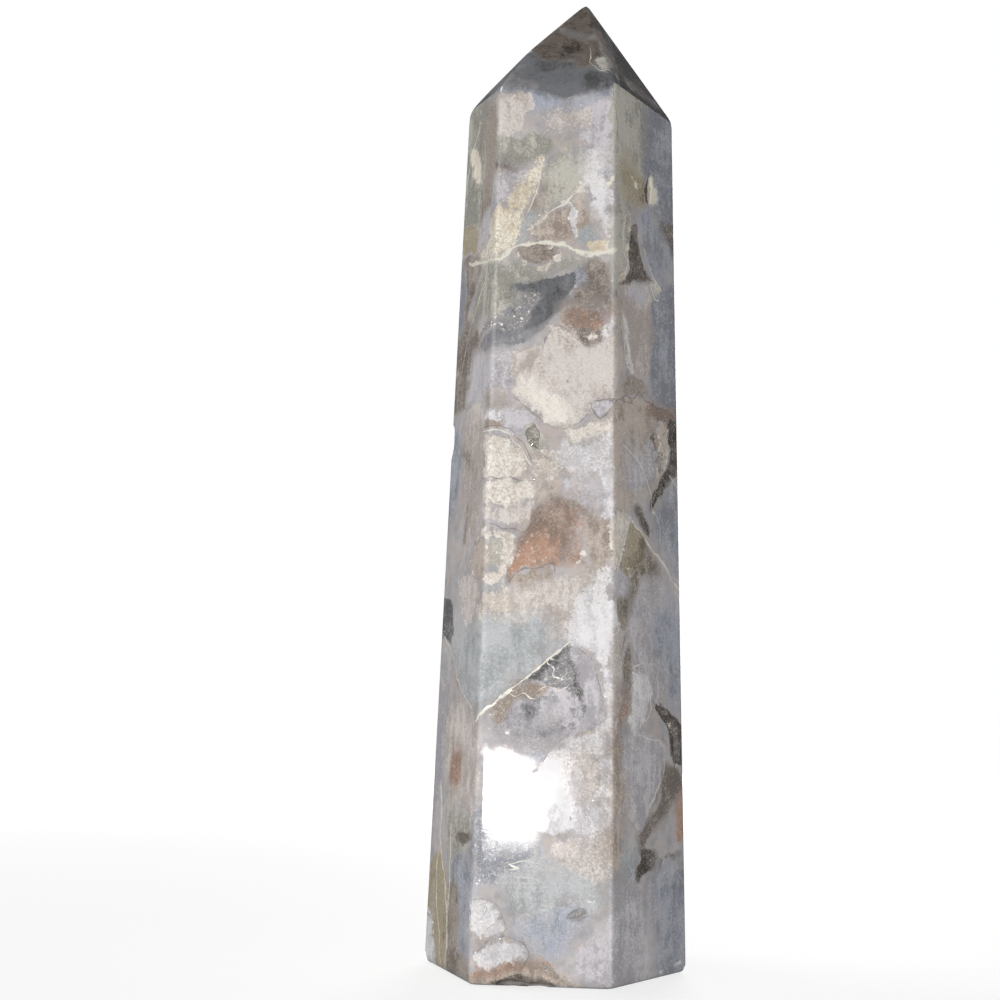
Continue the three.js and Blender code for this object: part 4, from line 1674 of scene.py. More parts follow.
@dataclass
class HiddenSides:
    """Seeded plumes, pools and cracks for the back of the shaft, the back of the crown and the base.

    Attributes:
        shape: The stone that they lie on.
        seed: Starts the draws.
        zones: Wide clouded zones on the shaft.
        nests: Pairs of markings, one inside the other, on the shaft.
        garlands: Rows of small plumes along a seam, on the shaft.
        plumes: Smaller markings on the shaft.
        cracks: Thin lines on the shaft.
        crown_counts: Zones, nests and plumes on the crown.
        base_counts: Zones, plumes and cracks on the base.
        outline_places: Places round a plume.
        crack_places: Stretches of a crack.
        zone_kinds: The zones' minerals.
        plume_kinds: The plumes' minerals; one that is there twice is drawn more often.
        small_kinds: The minerals that make only small plumes.
        garland_kinds: The minerals of a garland's plumes.
        nest_kinds: The outer and the inner mineral of a nest.
    """

    shape: Shape
    seed: int = 27
    zones: int = 60
    nests: int = 39
    garlands: int = 9
    plumes: int = 90
    cracks: int = 24
    crown_counts: tuple[int, int, int] = (24, 10, 20)
    base_counts: tuple[int, int, int] = (22, 24, 5)
    outline_places: int = 18
    crack_places: int = 7
    zone_kinds: tuple[Mineral, ...] = (MIST, AQUA, SAGE, LILAC, BLUSH, TAN)
    plume_kinds: tuple[Mineral, ...] = (
        CREAM, CREAM, PEARL, PEARL, BLUSH, BLUSH, LILAC, TAN, BARK, BARK, SLATE, CARNELIAN,
        UMBER, OLIVE, STRAW,
    )
    small_kinds: tuple[Mineral, ...] = (UMBER, OLIVE, STRAW)
    garland_kinds: tuple[Mineral, ...] = (CREAM, PEARL, BLUSH)
    nest_kinds: tuple[tuple[Mineral, Mineral], ...] = (
        (TAN, CARNELIAN), (LILAC, PEARL), (MIST, SLATE), (SAGE, OLIVE), (BLUSH, CREAM), (CREAM, TAN),
        (BARK, UMBER), (SLATE, LILAC),
    )

    def __post_init__(self) -> None:
        """Starts the draws from the seed."""
        self.draw = random.Random(self.seed)

    def plume(self, ground: Ground, kind: Mineral, middle: Pixel, size: float, tall: float) -> Grown:
        """A lobed outline round a middle.

        Args:
            ground: The chart that it lies on.
            kind: Its mineral.
            middle: Its middle in that chart.
            size: Half its width.
            tall: How many times taller than wide it is.

        Returns:
            The marking.
        """
        lean = self.draw.uniform(-0.6, 0.6)
        waves = [(rate, self.draw.uniform(0, math.tau), 0.34 / rate**0.75) for rate in (2, 3, 4, 6)]
        places = []
        for step in range(self.outline_places):
            angle = math.tau * step / self.outline_places
            reach = size * (1 + sum(part * math.sin(rate * angle + turn) for rate, turn, part in waves))
            across, up = reach * math.cos(angle), reach * math.sin(angle) * tall
            places.append((middle[0] + across + lean * up * 0.5, middle[1] + up))
        look = {
            "tone": self.draw.uniform(-0.8, 0.8),
            "soft": self.draw.choice([1.0, 1.5, 2.0, 3.0]),
            "cover": self.draw.choice([1.0, 1.0, 0.8, 0.65]),
            "sugar": self.draw.choice([0.1, 0.1, 0.4, 0.9]),
            "sparks": self.draw.choice([0.0, 0.0, 0.0, 0.6]),
        }
        return Grown(ground, np.array(places), mineral=kind, **look)

    def some_plume(
        self, ground: Ground, middle: Pixel, kinds: Sequence[Mineral], sizes: Span, shapes: Span
    ) -> Grown:
        """A plume of drawn mineral and size.

        Args:
            ground: The chart that it lies on.
            middle: Its middle in that chart.
            kinds: The minerals to draw from.
            sizes: The least and the most that half its width may be.
            shapes: The least and the most times that it may be taller than wide.

        Returns:
            The marking.
        """
        kind = self.draw.choice(kinds)
        return self.plume(ground, kind, middle, self.draw.uniform(*sizes), self.draw.uniform(*shapes))

    def nest(self, ground: Ground, middle: Pixel, size: float) -> list[Grown]:
        """One marking with a smaller one inside it.

        Args:
            ground: The chart that they lie on.
            middle: The outer one's middle.
            size: Half the outer one's width.

        Returns:
            Both markings.
        """
        outer, inner = self.draw.choice(self.nest_kinds)
        tall = self.draw.uniform(0.8, 1.6)
        inside = tuple(part + size * self.draw.uniform(-0.3, 0.3) for part in middle)
        share = self.draw.uniform(0.4, 0.65)
        return [
            self.plume(ground, outer, middle, size, tall),
            self.plume(ground, inner, inside, size * share, tall),
        ]

    def garland(self, ground: Ground, start: Pixel, length: float) -> list[Grown]:
        """A pale or dark seam with small plumes that grow up from it.

        Args:
            ground: The chart that they lie on.
            start: Where the seam starts.
            length: The seam's length.

        Returns:
            The plumes and the seam.
        """
        seam = self.crack(ground, start, length)
        grown = []
        for place in seam.places[1:]:
            kind = self.draw.choice(self.garland_kinds)
            size = self.draw.uniform(0.7, 1.7)
            middle = (place[0], place[1] + size * 0.8)
            grown.append(self.plume(ground, kind, middle, size, self.draw.uniform(0.8, 1.5)))
        return [*grown, seam]

    def crack(self, ground: Ground, start: Pixel, length: float) -> Grown:
        """A thin wandering line.

        Args:
            ground: The chart that it lies on.
            start: Its lower end.
            length: Its length.

        Returns:
            The marking.
        """
        heading = self.draw.uniform(0.6, 2.4)
        places = [start]
        for _ in range(self.crack_places):
            heading += self.draw.uniform(-0.5, 0.5)
            step = length / self.crack_places
            across, up = places[-1]
            places.append((across + step * math.cos(heading), up + step * math.sin(heading)))
        seam = self.draw.choice([PALE, PALE, DARK])
        return Grown(ground, np.array(places), seam=seam, width=self.draw.uniform(0.1, 0.24))

    def shaft(self) -> list[Grown]:
        """The markings of the three sides behind.

        Returns:
            The markings, in the order in which they are laid.
        """
        height = np.array([MID_HEIGHT])
        corner = np.column_stack([self.shape.corner(1, height), height])
        start = float(self.shape.unroll(self.shape.settle(corner), side=1)[0, 0])
        left_start, left_end = self.shape.side_span(5, height)
        end = float(self.shape.girth(height)[0]) - float(left_end[0] - left_start[0])
        grown = []

        def place(after: float, before: float, lowest: float, highest: float) -> Pixel:
            """A place drawn from so far after the first corner to so far before the last."""
            return self.draw.uniform(start + after, end - before), self.draw.uniform(lowest, highest)

        for _ in range(self.zones):
            middle = place(2.5, 2.5, 2, 90)
            grown.append(self.some_plume(Ground.SHAFT, middle, self.zone_kinds, (2.4, 4.6), (1.0, 1.9)))
        for _ in range(self.nests):
            grown.extend(self.nest(Ground.SHAFT, place(2, 2, 0, 93), self.draw.uniform(1.6, 3.8)))
        for _ in range(self.garlands):
            grown.extend(self.garland(Ground.SHAFT, place(2, 6, 4, 85), self.draw.uniform(7, 14)))
        for _ in range(self.plumes):
            middle = place(1.5, 1.5, 0, 93)
            kind = self.draw.choice(self.plume_kinds)
            size = self.draw.uniform(*((0.4, 1.4) if kind in self.small_kinds else (0.7, 2.8)))
            grown.append(self.plume(Ground.SHAFT, kind, middle, size, self.draw.uniform(0.7, 1.7)))
        for _ in range(self.cracks):
            grown.append(self.crack(Ground.SHAFT, place(1, 1, 3, 85), self.draw.uniform(4, 15)))
        return grown

    def crown(self) -> list[Grown]:
        """The markings of the crown's flats behind.

        Returns:
            The markings, in the order in which they are laid.
        """
        ground, shapes = Ground.CROWN, (0.8, 1.3)
        zones, nests, plumes = self.crown_counts
        grown = []

        def place() -> Pixel:
            """A drawn place on the crown's back, seen from above."""
            turn = math.radians(self.draw.uniform(62, 292))
            reach = self.draw.uniform(2.5, 11.5)
            return reach * math.sin(turn), -reach * math.cos(turn) + 0.5

        for _ in range(zones):
            grown.append(self.some_plume(ground, place(), self.zone_kinds, (1.6, 2.8), shapes))
        for _ in range(nests):
            grown.extend(self.nest(ground, place(), self.draw.uniform(1.0, 2.2)))
        for _ in range(plumes):
            grown.append(self.some_plume(ground, place(), self.plume_kinds, (0.5, 1.6), shapes))
        return grown

    def base(self) -> list[Grown]:
        """The markings of the ground face below.

        Returns:
            The markings, in the order in which they are laid.
        """
        ground, shapes = Ground.BASE, (0.8, 1.3)
        zones, plumes, cracks = self.base_counts
        grown = []
        groups = ((zones, self.zone_kinds, (2.0, 3.6)), (plumes, self.plume_kinds, (0.7, 2.4)))
        for count, kinds, sizes in groups:
            for _ in range(count):
                middle = (self.draw.uniform(-11, 11), self.draw.uniform(-10, 10))
                grown.append(self.some_plume(ground, middle, kinds, sizes, shapes))
        for _ in range(cracks):
            start = (self.draw.uniform(-9, 5), self.draw.uniform(-9, 3))
            grown.append(self.crack(ground, start, self.draw.uniform(5, 14)))
        return grown

    def build(self) -> list[Grown]:
        """All the markings out of the photograph's view, in the order in which they are laid."""
        return [*self.shaft(), *self.crown(), *self.base()]


# Distances to the markings, kept with every point of the mesh


REACH = 2.0
LINE_REACH = 8.0
SOFT_REACH = 1.4
COVER_DEPTH = 1.2
BLUR_SPAN = 2.5
TONE_EDGE = (0.25, 0.4)
BLUR_EDGE = (0.9, 0.6)
TINY = 1e-9
USUAL_SUGAR = {"crown": 0.0, "front": 0.12, "beside": 0.2}


def rounded(places: np.ndarray, closed: bool, steps: int = 4) -> np.ndarray:
    """A smooth curve through places, as a finer row of places.

    Args:
        places: The places that the curve goes through.
        closed: Whether it comes back to its start.
        steps: How many pieces each stretch is cut into.

    Returns:
        The finer row.
    """
    if closed:
        before, start, after, beyond = (np.roll(places, shift, axis=0) for shift in (1, 0, -1, -2))
    else:
        padded = np.vstack([2 * places[0] - places[1], places, 2 * places[-1] - places[-2]])
        before, start, after, beyond = padded[:-3], padded[1:-2], padded[2:-1], padded[3:]
    rows = []
    for step in range(steps):
        t = step / steps
        rows.append(
            0.5
            * (
                2 * start
                + (after - before) * t
                + (2 * before - 5 * start + 4 * after - beyond) * t**2
                + (3 * start - before - 3 * after + beyond) * t**3
            )
        )
    curve = np.stack(rows, axis=1).reshape(-1, places.shape[1])
    return curve if closed else np.vstack([curve, places[-1]])


def gap_to_route(points: np.ndarray, route: np.ndarray) -> tuple[np.ndarray, np.ndarray]:
    """How far points are from a row of stretches, and on which side of it.

    Args:
        points: Places in a chart.
        route: The corners of the stretches, in order.

    Returns:
        The distances, and plus or minus one for the left or the right side.
    """
    start, edge = route[:-1], np.diff(route, axis=0)
    offset = points[:, None, :] - start[None]
    along = np.clip((offset * edge).sum(-1) / np.maximum((edge**2).sum(-1), TINY), 0, 1)
    gap = offset - along[..., None] * edge
    length = np.sqrt((gap**2).sum(-1))
    nearest = length.argmin(axis=1)
    rows = np.arange(len(points))
    turn = edge[nearest, 0] * offset[rows, nearest, 1] - edge[nearest, 1] * offset[rows, nearest, 0]
    return length[rows, nearest], np.where(turn >= 0, 1.0, -1.0)


def inside(points: np.ndarray, outline: np.ndarray) -> np.ndarray:
    """Whether each point lies within a closed outline.

    Args:
        points: Places in a chart.
        outline: The outline's corners, in order.

    Returns:
        True for each point inside.
    """
    start, end = outline, np.roll(outline, -1, axis=0)
    level = points[:, 1:2]
    straddles = (start[:, 1] <= level) != (end[:, 1] <= level)
    rise = np.where(end[:, 1] == start[:, 1], TINY, end[:, 1] - start[:, 1])
    crossing = start[:, 0] + (level - start[:, 1]) / rise * (end[:, 0] - start[:, 0])
    return (straddles & (points[:, 0:1] < crossing)).sum(axis=1) % 2 == 1


@dataclass
class Markings:
    """Lays every marking on the stone and measures how far each point is inside each mineral."""

    shape: Shape
    eye: Eye

    def flat_of(self, points: np.ndarray) -> np.ndarray:
        """The number of the flat that each point lies on; the base comes last."""
        flats = slice(0, FLAT_COUNT + 1)
        return (points @ self.shape.normals[flats].T - self.shape.offsets[flats]).argmax(axis=1)

    def cast(self, pixels: Sequence[Pixel], ground: Ground) -> np.ndarray:
        """Places in the photograph as places in a chart.

        Args:
            pixels: Places in the photograph.
            ground: The chart; flats are drawn out past their edges for places that miss them.

        Returns:
            One row of chart millimetres for each place.
        """
        planes = SIDE_PLANES if ground is Ground.SHAFT else CROWN_PLANES
        rows = []
        for pixel in pixels:
            place, flat = self.shape.ray_hit(self.eye.place, self.eye.ray(pixel), planes)
            if ground is Ground.SHAFT:
                rows.append(self.shape.unroll(place[None], side=flat)[0])
            else:
                rows.append(place[:2])
        return np.array(rows)

    @staticmethod
    def dark_crown() -> Grown:
        """The right flat of the crown, which is one dark piece from edge to edge.

        Returns:
            The marking, seen from above.
        """
        places = []
        for turn, reach in ((56, 0.3), (19, 4), (18, 9), (18, 15), (56, 16), (97, 15), (97, 9), (97, 4)):
            angle = math.radians(turn)
            places.append(SHARP_TIP[:2] + reach * np.array([math.sin(angle), -math.cos(angle)]))
        return Grown(Ground.CROWN, np.array(places), mineral=UMBER, tone=-0.9)

    def seen(self) -> list[Grown]:
        """The markings of the photograph, laid in their charts.

        Returns:
            The markings, in the order in which they are laid.
        """
        shaft, crown = Ground.SHAFT, Ground.CROWN
        tables = (
            (CROWN_MARKINGS, (crown,), "crown"),
            (SHOULDER_MARKINGS, (crown, shaft), "crown"),
            (FRONT_MARKINGS, (shaft,), "front"),
            ((*LEFT_MARKINGS, *RIGHT_MARKINGS), (shaft,), "beside"),
        )
        laid = [self.dark_crown()]
        for table, grounds, part in tables:
            for marking in table:
                width = marking.width if isinstance(marking, Streak) else 0.0
                sugar = USUAL_SUGAR[part] if marking.sugar is None else marking.sugar
                look = (marking.tone, marking.soft, marking.cover, sugar, marking.sparks)
                for ground in grounds:
                    places = self.cast(marking.pixels, ground)
                    laid.append(Grown(ground, places, marking.mineral, None, width, *look))
        for ground, lines in ((crown, CROWN_LINES), (shaft, LINES)):
            for line in lines:
                laid.append(Grown(ground, self.cast(line.route, ground), seam=line.seam, width=line.width))
        return laid

    @staticmethod
    def stray(points: np.ndarray) -> np.ndarray:
        """A small wandering of the outlines, in two scales.

        Args:
            points: Every point of the mesh.

        Returns:
            A shift along the chart's two axes for each one.
        """
        rows = []
        for point in points:
            place = Vector(point)
            drift = wander(place, rate=0.65, reach=0.28) + wander(place, rate=1.7, reach=0.14)
            rows.append(drift[:2])
        return np.array(rows)

    def measure(self, points: np.ndarray) -> dict[str, np.ndarray]:
        """The distances that the material reads.

        Args:
            points: Every point of the mesh, before the breaks were sunk.

        Returns:
            For each mineral how far inside it a point is, the tone and the sugar of the topmost
            marking, and for each kind of seam on which side of the nearest line a point is, in half
            widths, and how near it is to that line.
        """
        flats = self.flat_of(points)
        drift = self.stray(points)
        charts = {
            Ground.SHAFT: (flats < SIDE_COUNT, self.shape.unroll(points)),
            Ground.CROWN: ((flats >= SIDE_COUNT) & (flats < FLAT_COUNT), points[:, :2]),
            Ground.BASE: (flats == FLAT_COUNT, points[:, :2]),
        }
        fields = {kind.name.lower(): np.full(len(points), -REACH) for kind in Mineral}
        fields |= {name: np.zeros(len(points)) for name in ("tone", "sugar", "sparks", "blur")}
        for seam in Seam:
            fields[f"{seam.value}_side"] = np.full(len(points), LINE_REACH)
            fields[f"{seam.value}_gap"] = np.full(len(points), REACH)
        girth = self.shape.girth(points[:, 2])
        for marking in [*HiddenSides(self.shape).build(), *self.seen()]:
            belongs, laid = charts[marking.ground]
            shifts = (0.0, 1.0) if marking.ground is Ground.SHAFT else (0.0,)
            for shift in shifts:
                moved = laid + drift
                moved[:, 0] += shift * girth
                self.mark(marking, moved, belongs, fields)
        return fields

    @staticmethod
    def mark(marking: Grown, laid: np.ndarray, belongs: np.ndarray, fields: dict[str, np.ndarray]) -> None:
        """Adds one marking to the distances of the points that it can reach.

        Args:
            marking: The marking.
            laid: Every point's place in the marking's chart.
            belongs: Which points lie on that chart.
            fields: The distances, which are changed.
        """
        margin = REACH + SOFT_REACH * (marking.soft - 1)
        low, high = marking.places.min(axis=0) - margin, marking.places.max(axis=0) + margin
        near = np.flatnonzero(belongs & (laid > low).all(axis=1) & (laid < high).all(axis=1))
        if not len(near):
            return
        closed = marking.mineral is not None and marking.width == 0
        curve = rounded(marking.places, closed)
        gap, side = gap_to_route(laid[near], np.vstack([curve, curve[0]]) if closed else curve)
        if marking.mineral is None:
            across, apart = fields[f"{marking.seam.value}_side"], fields[f"{marking.seam.value}_gap"]
            nearer = gap < apart[near]
            across[near[nearer]] = np.clip(side * gap / (marking.width / 2), -LINE_REACH, LINE_REACH)[nearer]
            apart[near[nearer]] = gap[nearer]
            return
        depth = np.where(inside(laid[near], curve), gap, -gap) if closed else marking.width / 2 - gap
        most = REACH if marking.cover == 1 else (marking.cover - 0.5) * COVER_DEPTH
        depth = np.clip(depth / marking.soft, -REACH, most)
        kinds = list(Mineral)
        own = fields[marking.mineral.name.lower()]
        own[near] = np.maximum(own[near], depth)
        for above in kinds[kinds.index(marking.mineral) + 1 :]:
            other = fields[above.name.lower()]
            other[near] = np.minimum(other[near], -depth)
        start, span = TONE_EDGE
        share = np.clip((depth + start) / span, 0, 1)
        share = share * share * (3 - 2 * share)
        for name, value in (("tone", marking.tone), ("sugar", marking.sugar), ("sparks", marking.sparks)):
            fields[name][near] += share * (value - fields[name][near])
        start, span = BLUR_EDGE
        share = np.clip((depth + start) / span, 0, 1)
        blur = min(max(marking.soft - 1, 0) / BLUR_SPAN, 1)
        fields["blur"][near] += share * (blur - fields["blur"][near])


# Materials


Value = Union["Signal", float, int, Sequence[float]]


class Signal:
    """A socket of a material, with arithmetic: an expression on signals adds the Math nodes it needs."""

    def __init__(self, graph: Graph, socket: bpy.types.NodeSocket) -> None:
        """Wraps a socket of a graph."""
        self.graph = graph
        self.socket = socket

    def __add__(self, other: Value) -> Signal:
        """The sum."""
        return self.graph.math("ADD", self, other)

    def __radd__(self, other: Value) -> Signal:
        """The sum, from the other side."""
        return self.graph.math("ADD", other, self)

    def __sub__(self, other: Value) -> Signal:
        """The difference."""
        return self.graph.math("SUBTRACT", self, other)

    def __rsub__(self, other: Value) -> Signal:
        """The difference, from the other side."""
        return self.graph.math("SUBTRACT", other, self)

    def __mul__(self, other: Value) -> Signal:
        """The product."""
        return self.graph.math("MULTIPLY", self, other)

    def __rmul__(self, other: Value) -> Signal:
        """The product, from the other side."""
        return self.graph.math("MULTIPLY", other, self)

    def __truediv__(self, other: Value) -> Signal:
        """The quotient."""
        return self.graph.math("DIVIDE", self, other)

    def __neg__(self) -> Signal:
        """The signal turned over."""
        return self.graph.math("MULTIPLY", self, -1.0)

    def __abs__(self) -> Signal:
        """The size of the signal."""
        return self.graph.math("ABSOLUTE", self)


class Graph:
    """The nodes of one material, and the few ways in which this file adds to them."""

    def __init__(self, name: str) -> None:
        """Starts a material with its Principled shader.

        Args:
            name: The material's name.
        """
        self.material = bpy.data.materials.new(name)
        self.material.use_nodes = True
        self.tree = self.material.node_tree
        self.shader = self.tree.nodes["Principled BSDF"]

    def feed(self, socket: bpy.types.NodeSocket, value: Value) -> None:
        """Links a signal to a socket, or sets the socket to a value.

        Args:
            socket: An input of a node.
            value: The signal, number, colour or vector.
        """
        if isinstance(value, Signal):
            self.tree.links.new(value.socket, socket)
        elif isinstance(value, (int, float)) and socket.type == "VECTOR":
            socket.default_value = (value, value, value)
        else:
            socket.default_value = value

    def node(self, kind: str, settings: dict[str, Any], inputs: dict[str | int, Value]) -> bpy.types.Node:
        """Adds a node.

        Args:
            kind: The node's type.
            settings: Its own settings, which are set first.
            inputs: Values or signals for its sockets, by name or number.

        Returns:
            The node.
        """
        added = self.tree.nodes.new(kind)
        for name, value in settings.items():
            setattr(added, name, value)
        for key, value in inputs.items():
            self.feed(added.inputs[key], value)
        return added

    def signal(self, added: bpy.types.Node, output: str | int = 0) -> Signal:
        """One output of a node."""
        return Signal(self, added.outputs[output])

    def math(self, operation: str, *values: Value) -> Signal:
        """One Math node."""
        return self.signal(self.node("ShaderNodeMath", {"operation": operation}, dict(enumerate(values))))

    def vector(self, operation: str, first: Value, second: Value) -> Signal:
        """One Vector Math node that gives a vector."""
        return self.signal(self.node("ShaderNodeVectorMath", {"operation": operation}, {0: first, 1: second}))

    def smooth(self, value: Value, start: float, end: float) -> Signal:
        """Zero at the start, one at the end, and a soft step between them.

        Args:
            value: What is compared.
            start: Where the step starts.
            end: Where it ends, above or below the start.

        Returns:
            The step.
        """
        settings = {"interpolation_type": "SMOOTHSTEP"}
        inputs = {"Value": value, "From Min": start, "From Max": end}
        return self.signal(self.node("ShaderNodeMapRange", settings, inputs))

    def mix(self, factor: Value, first: Value, second: Value) -> Signal:
        """One colour turned into another."""
        inputs = {0: factor, 6: first, 7: second}
        return self.signal(self.node("ShaderNodeMix", {"data_type": "RGBA"}, inputs), 2)

    def field(self, name: str) -> Signal:
        """A number that the mesh keeps with its points."""
        return self.signal(self.node("ShaderNodeAttribute", {"attribute_name": name}, {}), "Fac")

    def place(self) -> Signal:
        """Where a point lies in the object, in millimetres."""
        spot = self.signal(self.node("ShaderNodeTexCoord", {}, {}), "Object")
        return self.vector("MULTIPLY", spot, (1 / MM, 1 / MM, 1 / MM))

    def cloud(
        self, place: Signal, rate: float, detail: float, rough: float = 0.5, output: str = "Fac"
    ) -> Signal:
        """Noise about 0.5.

        Args:
            place: Where it is read.
            rate: Swells in a millimetre.
            detail: How many finer layers it has.
            rough: How strong these are.
            output: The node's output: a number or a colour.

        Returns:
            The noise.
        """
        inputs = {"Vector": place, "Scale": rate, "Detail": detail, "Roughness": rough}
        return self.signal(self.node("ShaderNodeTexNoise", {}, inputs), output)

    def cells(self, place: Signal, rate: float) -> Signal:
        """The distance to the middle of the nearest cell."""
        inputs = {"Vector": place, "Scale": rate}
        return self.signal(self.node("ShaderNodeTexVoronoi", {}, inputs), "Distance")

    def bump(self, height: Signal, strength: float = 1.0) -> Signal:
        """The normal of a surface with a fine relief, whose height is in millimetres."""
        inputs = {"Height": height, "Strength": strength, "Distance": MM}
        return self.signal(self.node("ShaderNodeBump", {}, inputs))


QUARTZ_IOR = 1.54


@dataclass(frozen=True)
class Polish:
    """The polish of the clear stone, and what time has done to it.

    Attributes:
        roughness: Where the polish is at its best.
        haze: How much rougher the cloudier places are.
        swell: Height of the slow swells that the wheel left, in millimetres.
        peel: Height of the finest relief.
        scratch: Depth of a scratch.
        grit: Height of the relief where the face is sugary.
        ior: Refractive index of chalcedony, which is quartz in fine fibres.
        depth: Share of light that enters the stone and comes out beside.
        depth_radius: How far that light goes, in millimetres.
    """

    roughness: float = 0.05
    haze: float = 0.03
    swell: float = 0.0055
    peel: float = 0.0012
    scratch: float = 0.0016
    grit: float = 0.006
    ior: float = QUARTZ_IOR
    depth: float = 0.12
    depth_radius: float = 0.8


class AgateMaterial:
    """The cut and polished stone: a cloudy ground, and the minerals laid over it one by one.

    Attributes:
        ground_colours: The milky ground: its dark, light, warm and cool places.
        grain_shadow: The gaps of a sugary face.
        grain_light: Its knots and threads, and the flecks, which are partly painted glints.
        line_shadow: The dark outline round some minerals.
        veil_colour: Pale wisps.
        stain_colour: Brown stains.
        speck_colour: Dark specks.
        seam_colours: The thin lines.
        seam_strengths: How much these cover.
        broken: Freshly chipped stone, where it is darkest; laid thickly in the chips at the foot, it is also
            painted shade.
        broken_pale: The same, where it is palest.
        hollow: The floors of the openings, greyed as painted shade in the hollows.
    """

    ground_colours = (
        linear(172, 168, 169), linear(210, 205, 206), linear(200, 188, 181), linear(182, 185, 193),
    )
    grain_shadow = linear(158, 147, 138)
    grain_light = linear(252, 248, 242)
    line_shadow = linear(126, 118, 118)
    veil_colour = linear(226, 222, 223)
    stain_colour = linear(164, 148, 136)
    speck_colour = linear(104, 94, 88)
    seam_colours = {Seam.PALE: linear(246, 242, 228), Seam.DARK: linear(128, 118, 114)}
    seam_strengths = {Seam.PALE: 0.9, Seam.DARK: 0.6}
    broken = linear(84, 78, 75)
    broken_pale = linear(138, 131, 127)
    hollow = linear(140, 134, 132)

    def __init__(self, polish: Polish) -> None:
        """Starts the material and the textures that its minerals share.

        Args:
            polish: The polish, and what time has done to it.
        """
        self.polish = polish
        self.graph = Graph("agate")
        graph = self.graph
        self.place = graph.place()
        drift = graph.cloud(self.place, 0.9, 3.0, 0.7, output="Color")
        self.wavy = graph.vector("ADD", self.place, graph.vector("MULTIPLY", drift, (1.1, 1.1, 1.1)))
        self.wide = graph.cloud(self.place, 0.16, 3.0, 0.55)
        self.middle = graph.cloud(self.wavy, 0.6, 4.0, 0.6)
        self.fine = graph.cloud(self.place, 3.2, 4.0, 0.7)
        self.lobe = graph.cells(self.wavy, 0.95)
        self.bulge = (0.42 - self.lobe) + (0.4 - graph.cells(self.wavy, 2.2)) * 0.5
        self.sugar = graph.cells(self.wavy, 3.4) + (self.fine - 0.5) * 0.6
        self.coarse = graph.smooth(self.middle * 0.6 + self.wide * 0.4, 0.42, 0.6)
        feather = graph.smooth(graph.cloud(self.place, 0.35, 2.0), 0.45, 0.65) * 1.5 + 0.35
        self.crispness = graph.math("DIVIDE", 1.0, feather)
        self.patchy = graph.smooth(self.middle * 0.6 + self.fine * 0.4, 0.42, 0.56)
        self.blur = graph.field("blur")
        self.rimmed = self.patchy * (1 - self.blur * 0.8)
        self.swirl = graph.math("SINE", self.middle * 62.0 + self.wide * 26.0)
        streaked = graph.vector("MULTIPLY", self.wavy, (1.3, 1.3, 0.22))
        self.streaks = graph.cloud(streaked, 1.0, 3.0, 0.6)
        self.shade = (
            self.wide * 0.8 + self.middle * 0.55 + self.fine * 0.6 + self.streaks * 0.7 - 1.325
            + self.swirl * 0.03
            + graph.field("tone") * 0.19
        )

    def ground(self) -> Signal:
        """The milky stone between the markings.

        Returns:
            Its colours.
        """
        graph = self.graph
        dark, light, warm, cool = self.ground_colours
        colour = graph.mix(graph.smooth(self.wide * 0.5 + self.middle * 0.5, 0.38, 0.6), dark, light)
        colour = graph.mix(graph.smooth(self.middle - self.wide * 0.6, 0.12, 0.3) * 0.8, colour, warm)
        return graph.mix(graph.smooth(self.lobe + self.wide, 1.05, 0.8) * 0.5, colour, cool)

    def lay(self, kind: Mineral, under: Signal) -> Signal:
        """Lays one mineral over what is there.

        Args:
            kind: The mineral.
            under: The colours so far.

        Returns:
            The colours with the mineral in its places.
        """
        graph, finish = self.graph, kind.value
        fray = 1.0 * finish.lace + 1.2 * finish.soft
        stray = (self.middle - 0.5) * (1.6 * finish.lace) + (self.fine - 0.5) * fray
        stray = stray * (1 - self.blur * 0.6)
        depth = graph.field(kind.name.lower())
        reach = depth + stray
        if finish.lobes:
            reach = reach + self.bulge * finish.lobes
        width = self.blur * 0.4 + finish.soft
        mask = graph.smooth(reach * self.crispness / width, -1, 1)
        tone = graph.smooth(self.shade * finish.cloud + reach * 0.04, -0.16, 0.16)
        colour = graph.mix(tone, linear(*finish.deep), linear(*finish.pale))
        if finish.contour:
            wave = graph.math("SINE", depth * 13.0 + self.middle * 4.0)
            bands = graph.smooth(wave, 0.1, 0.95) * graph.smooth(depth, 1.3, 0.5) * self.patchy
            colour = graph.mix(bands * finish.contour, colour, linear(*finish.rim))
        edge = graph.smooth(abs(reach - 0.1), 0.11, 0.03) * self.rimmed * finish.banded
        colour = graph.mix(edge, colour, linear(*finish.rim))
        if finish.outlined:
            line = graph.smooth(abs(reach + 0.1), 0.14, 0.03) * self.rimmed * finish.outlined
            under = graph.mix(line, under, self.line_shadow)
        if finish.dull:
            self.dullness = self.dullness + mask * (finish.dull - self.dullness)
        return graph.mix(mask, under, colour)

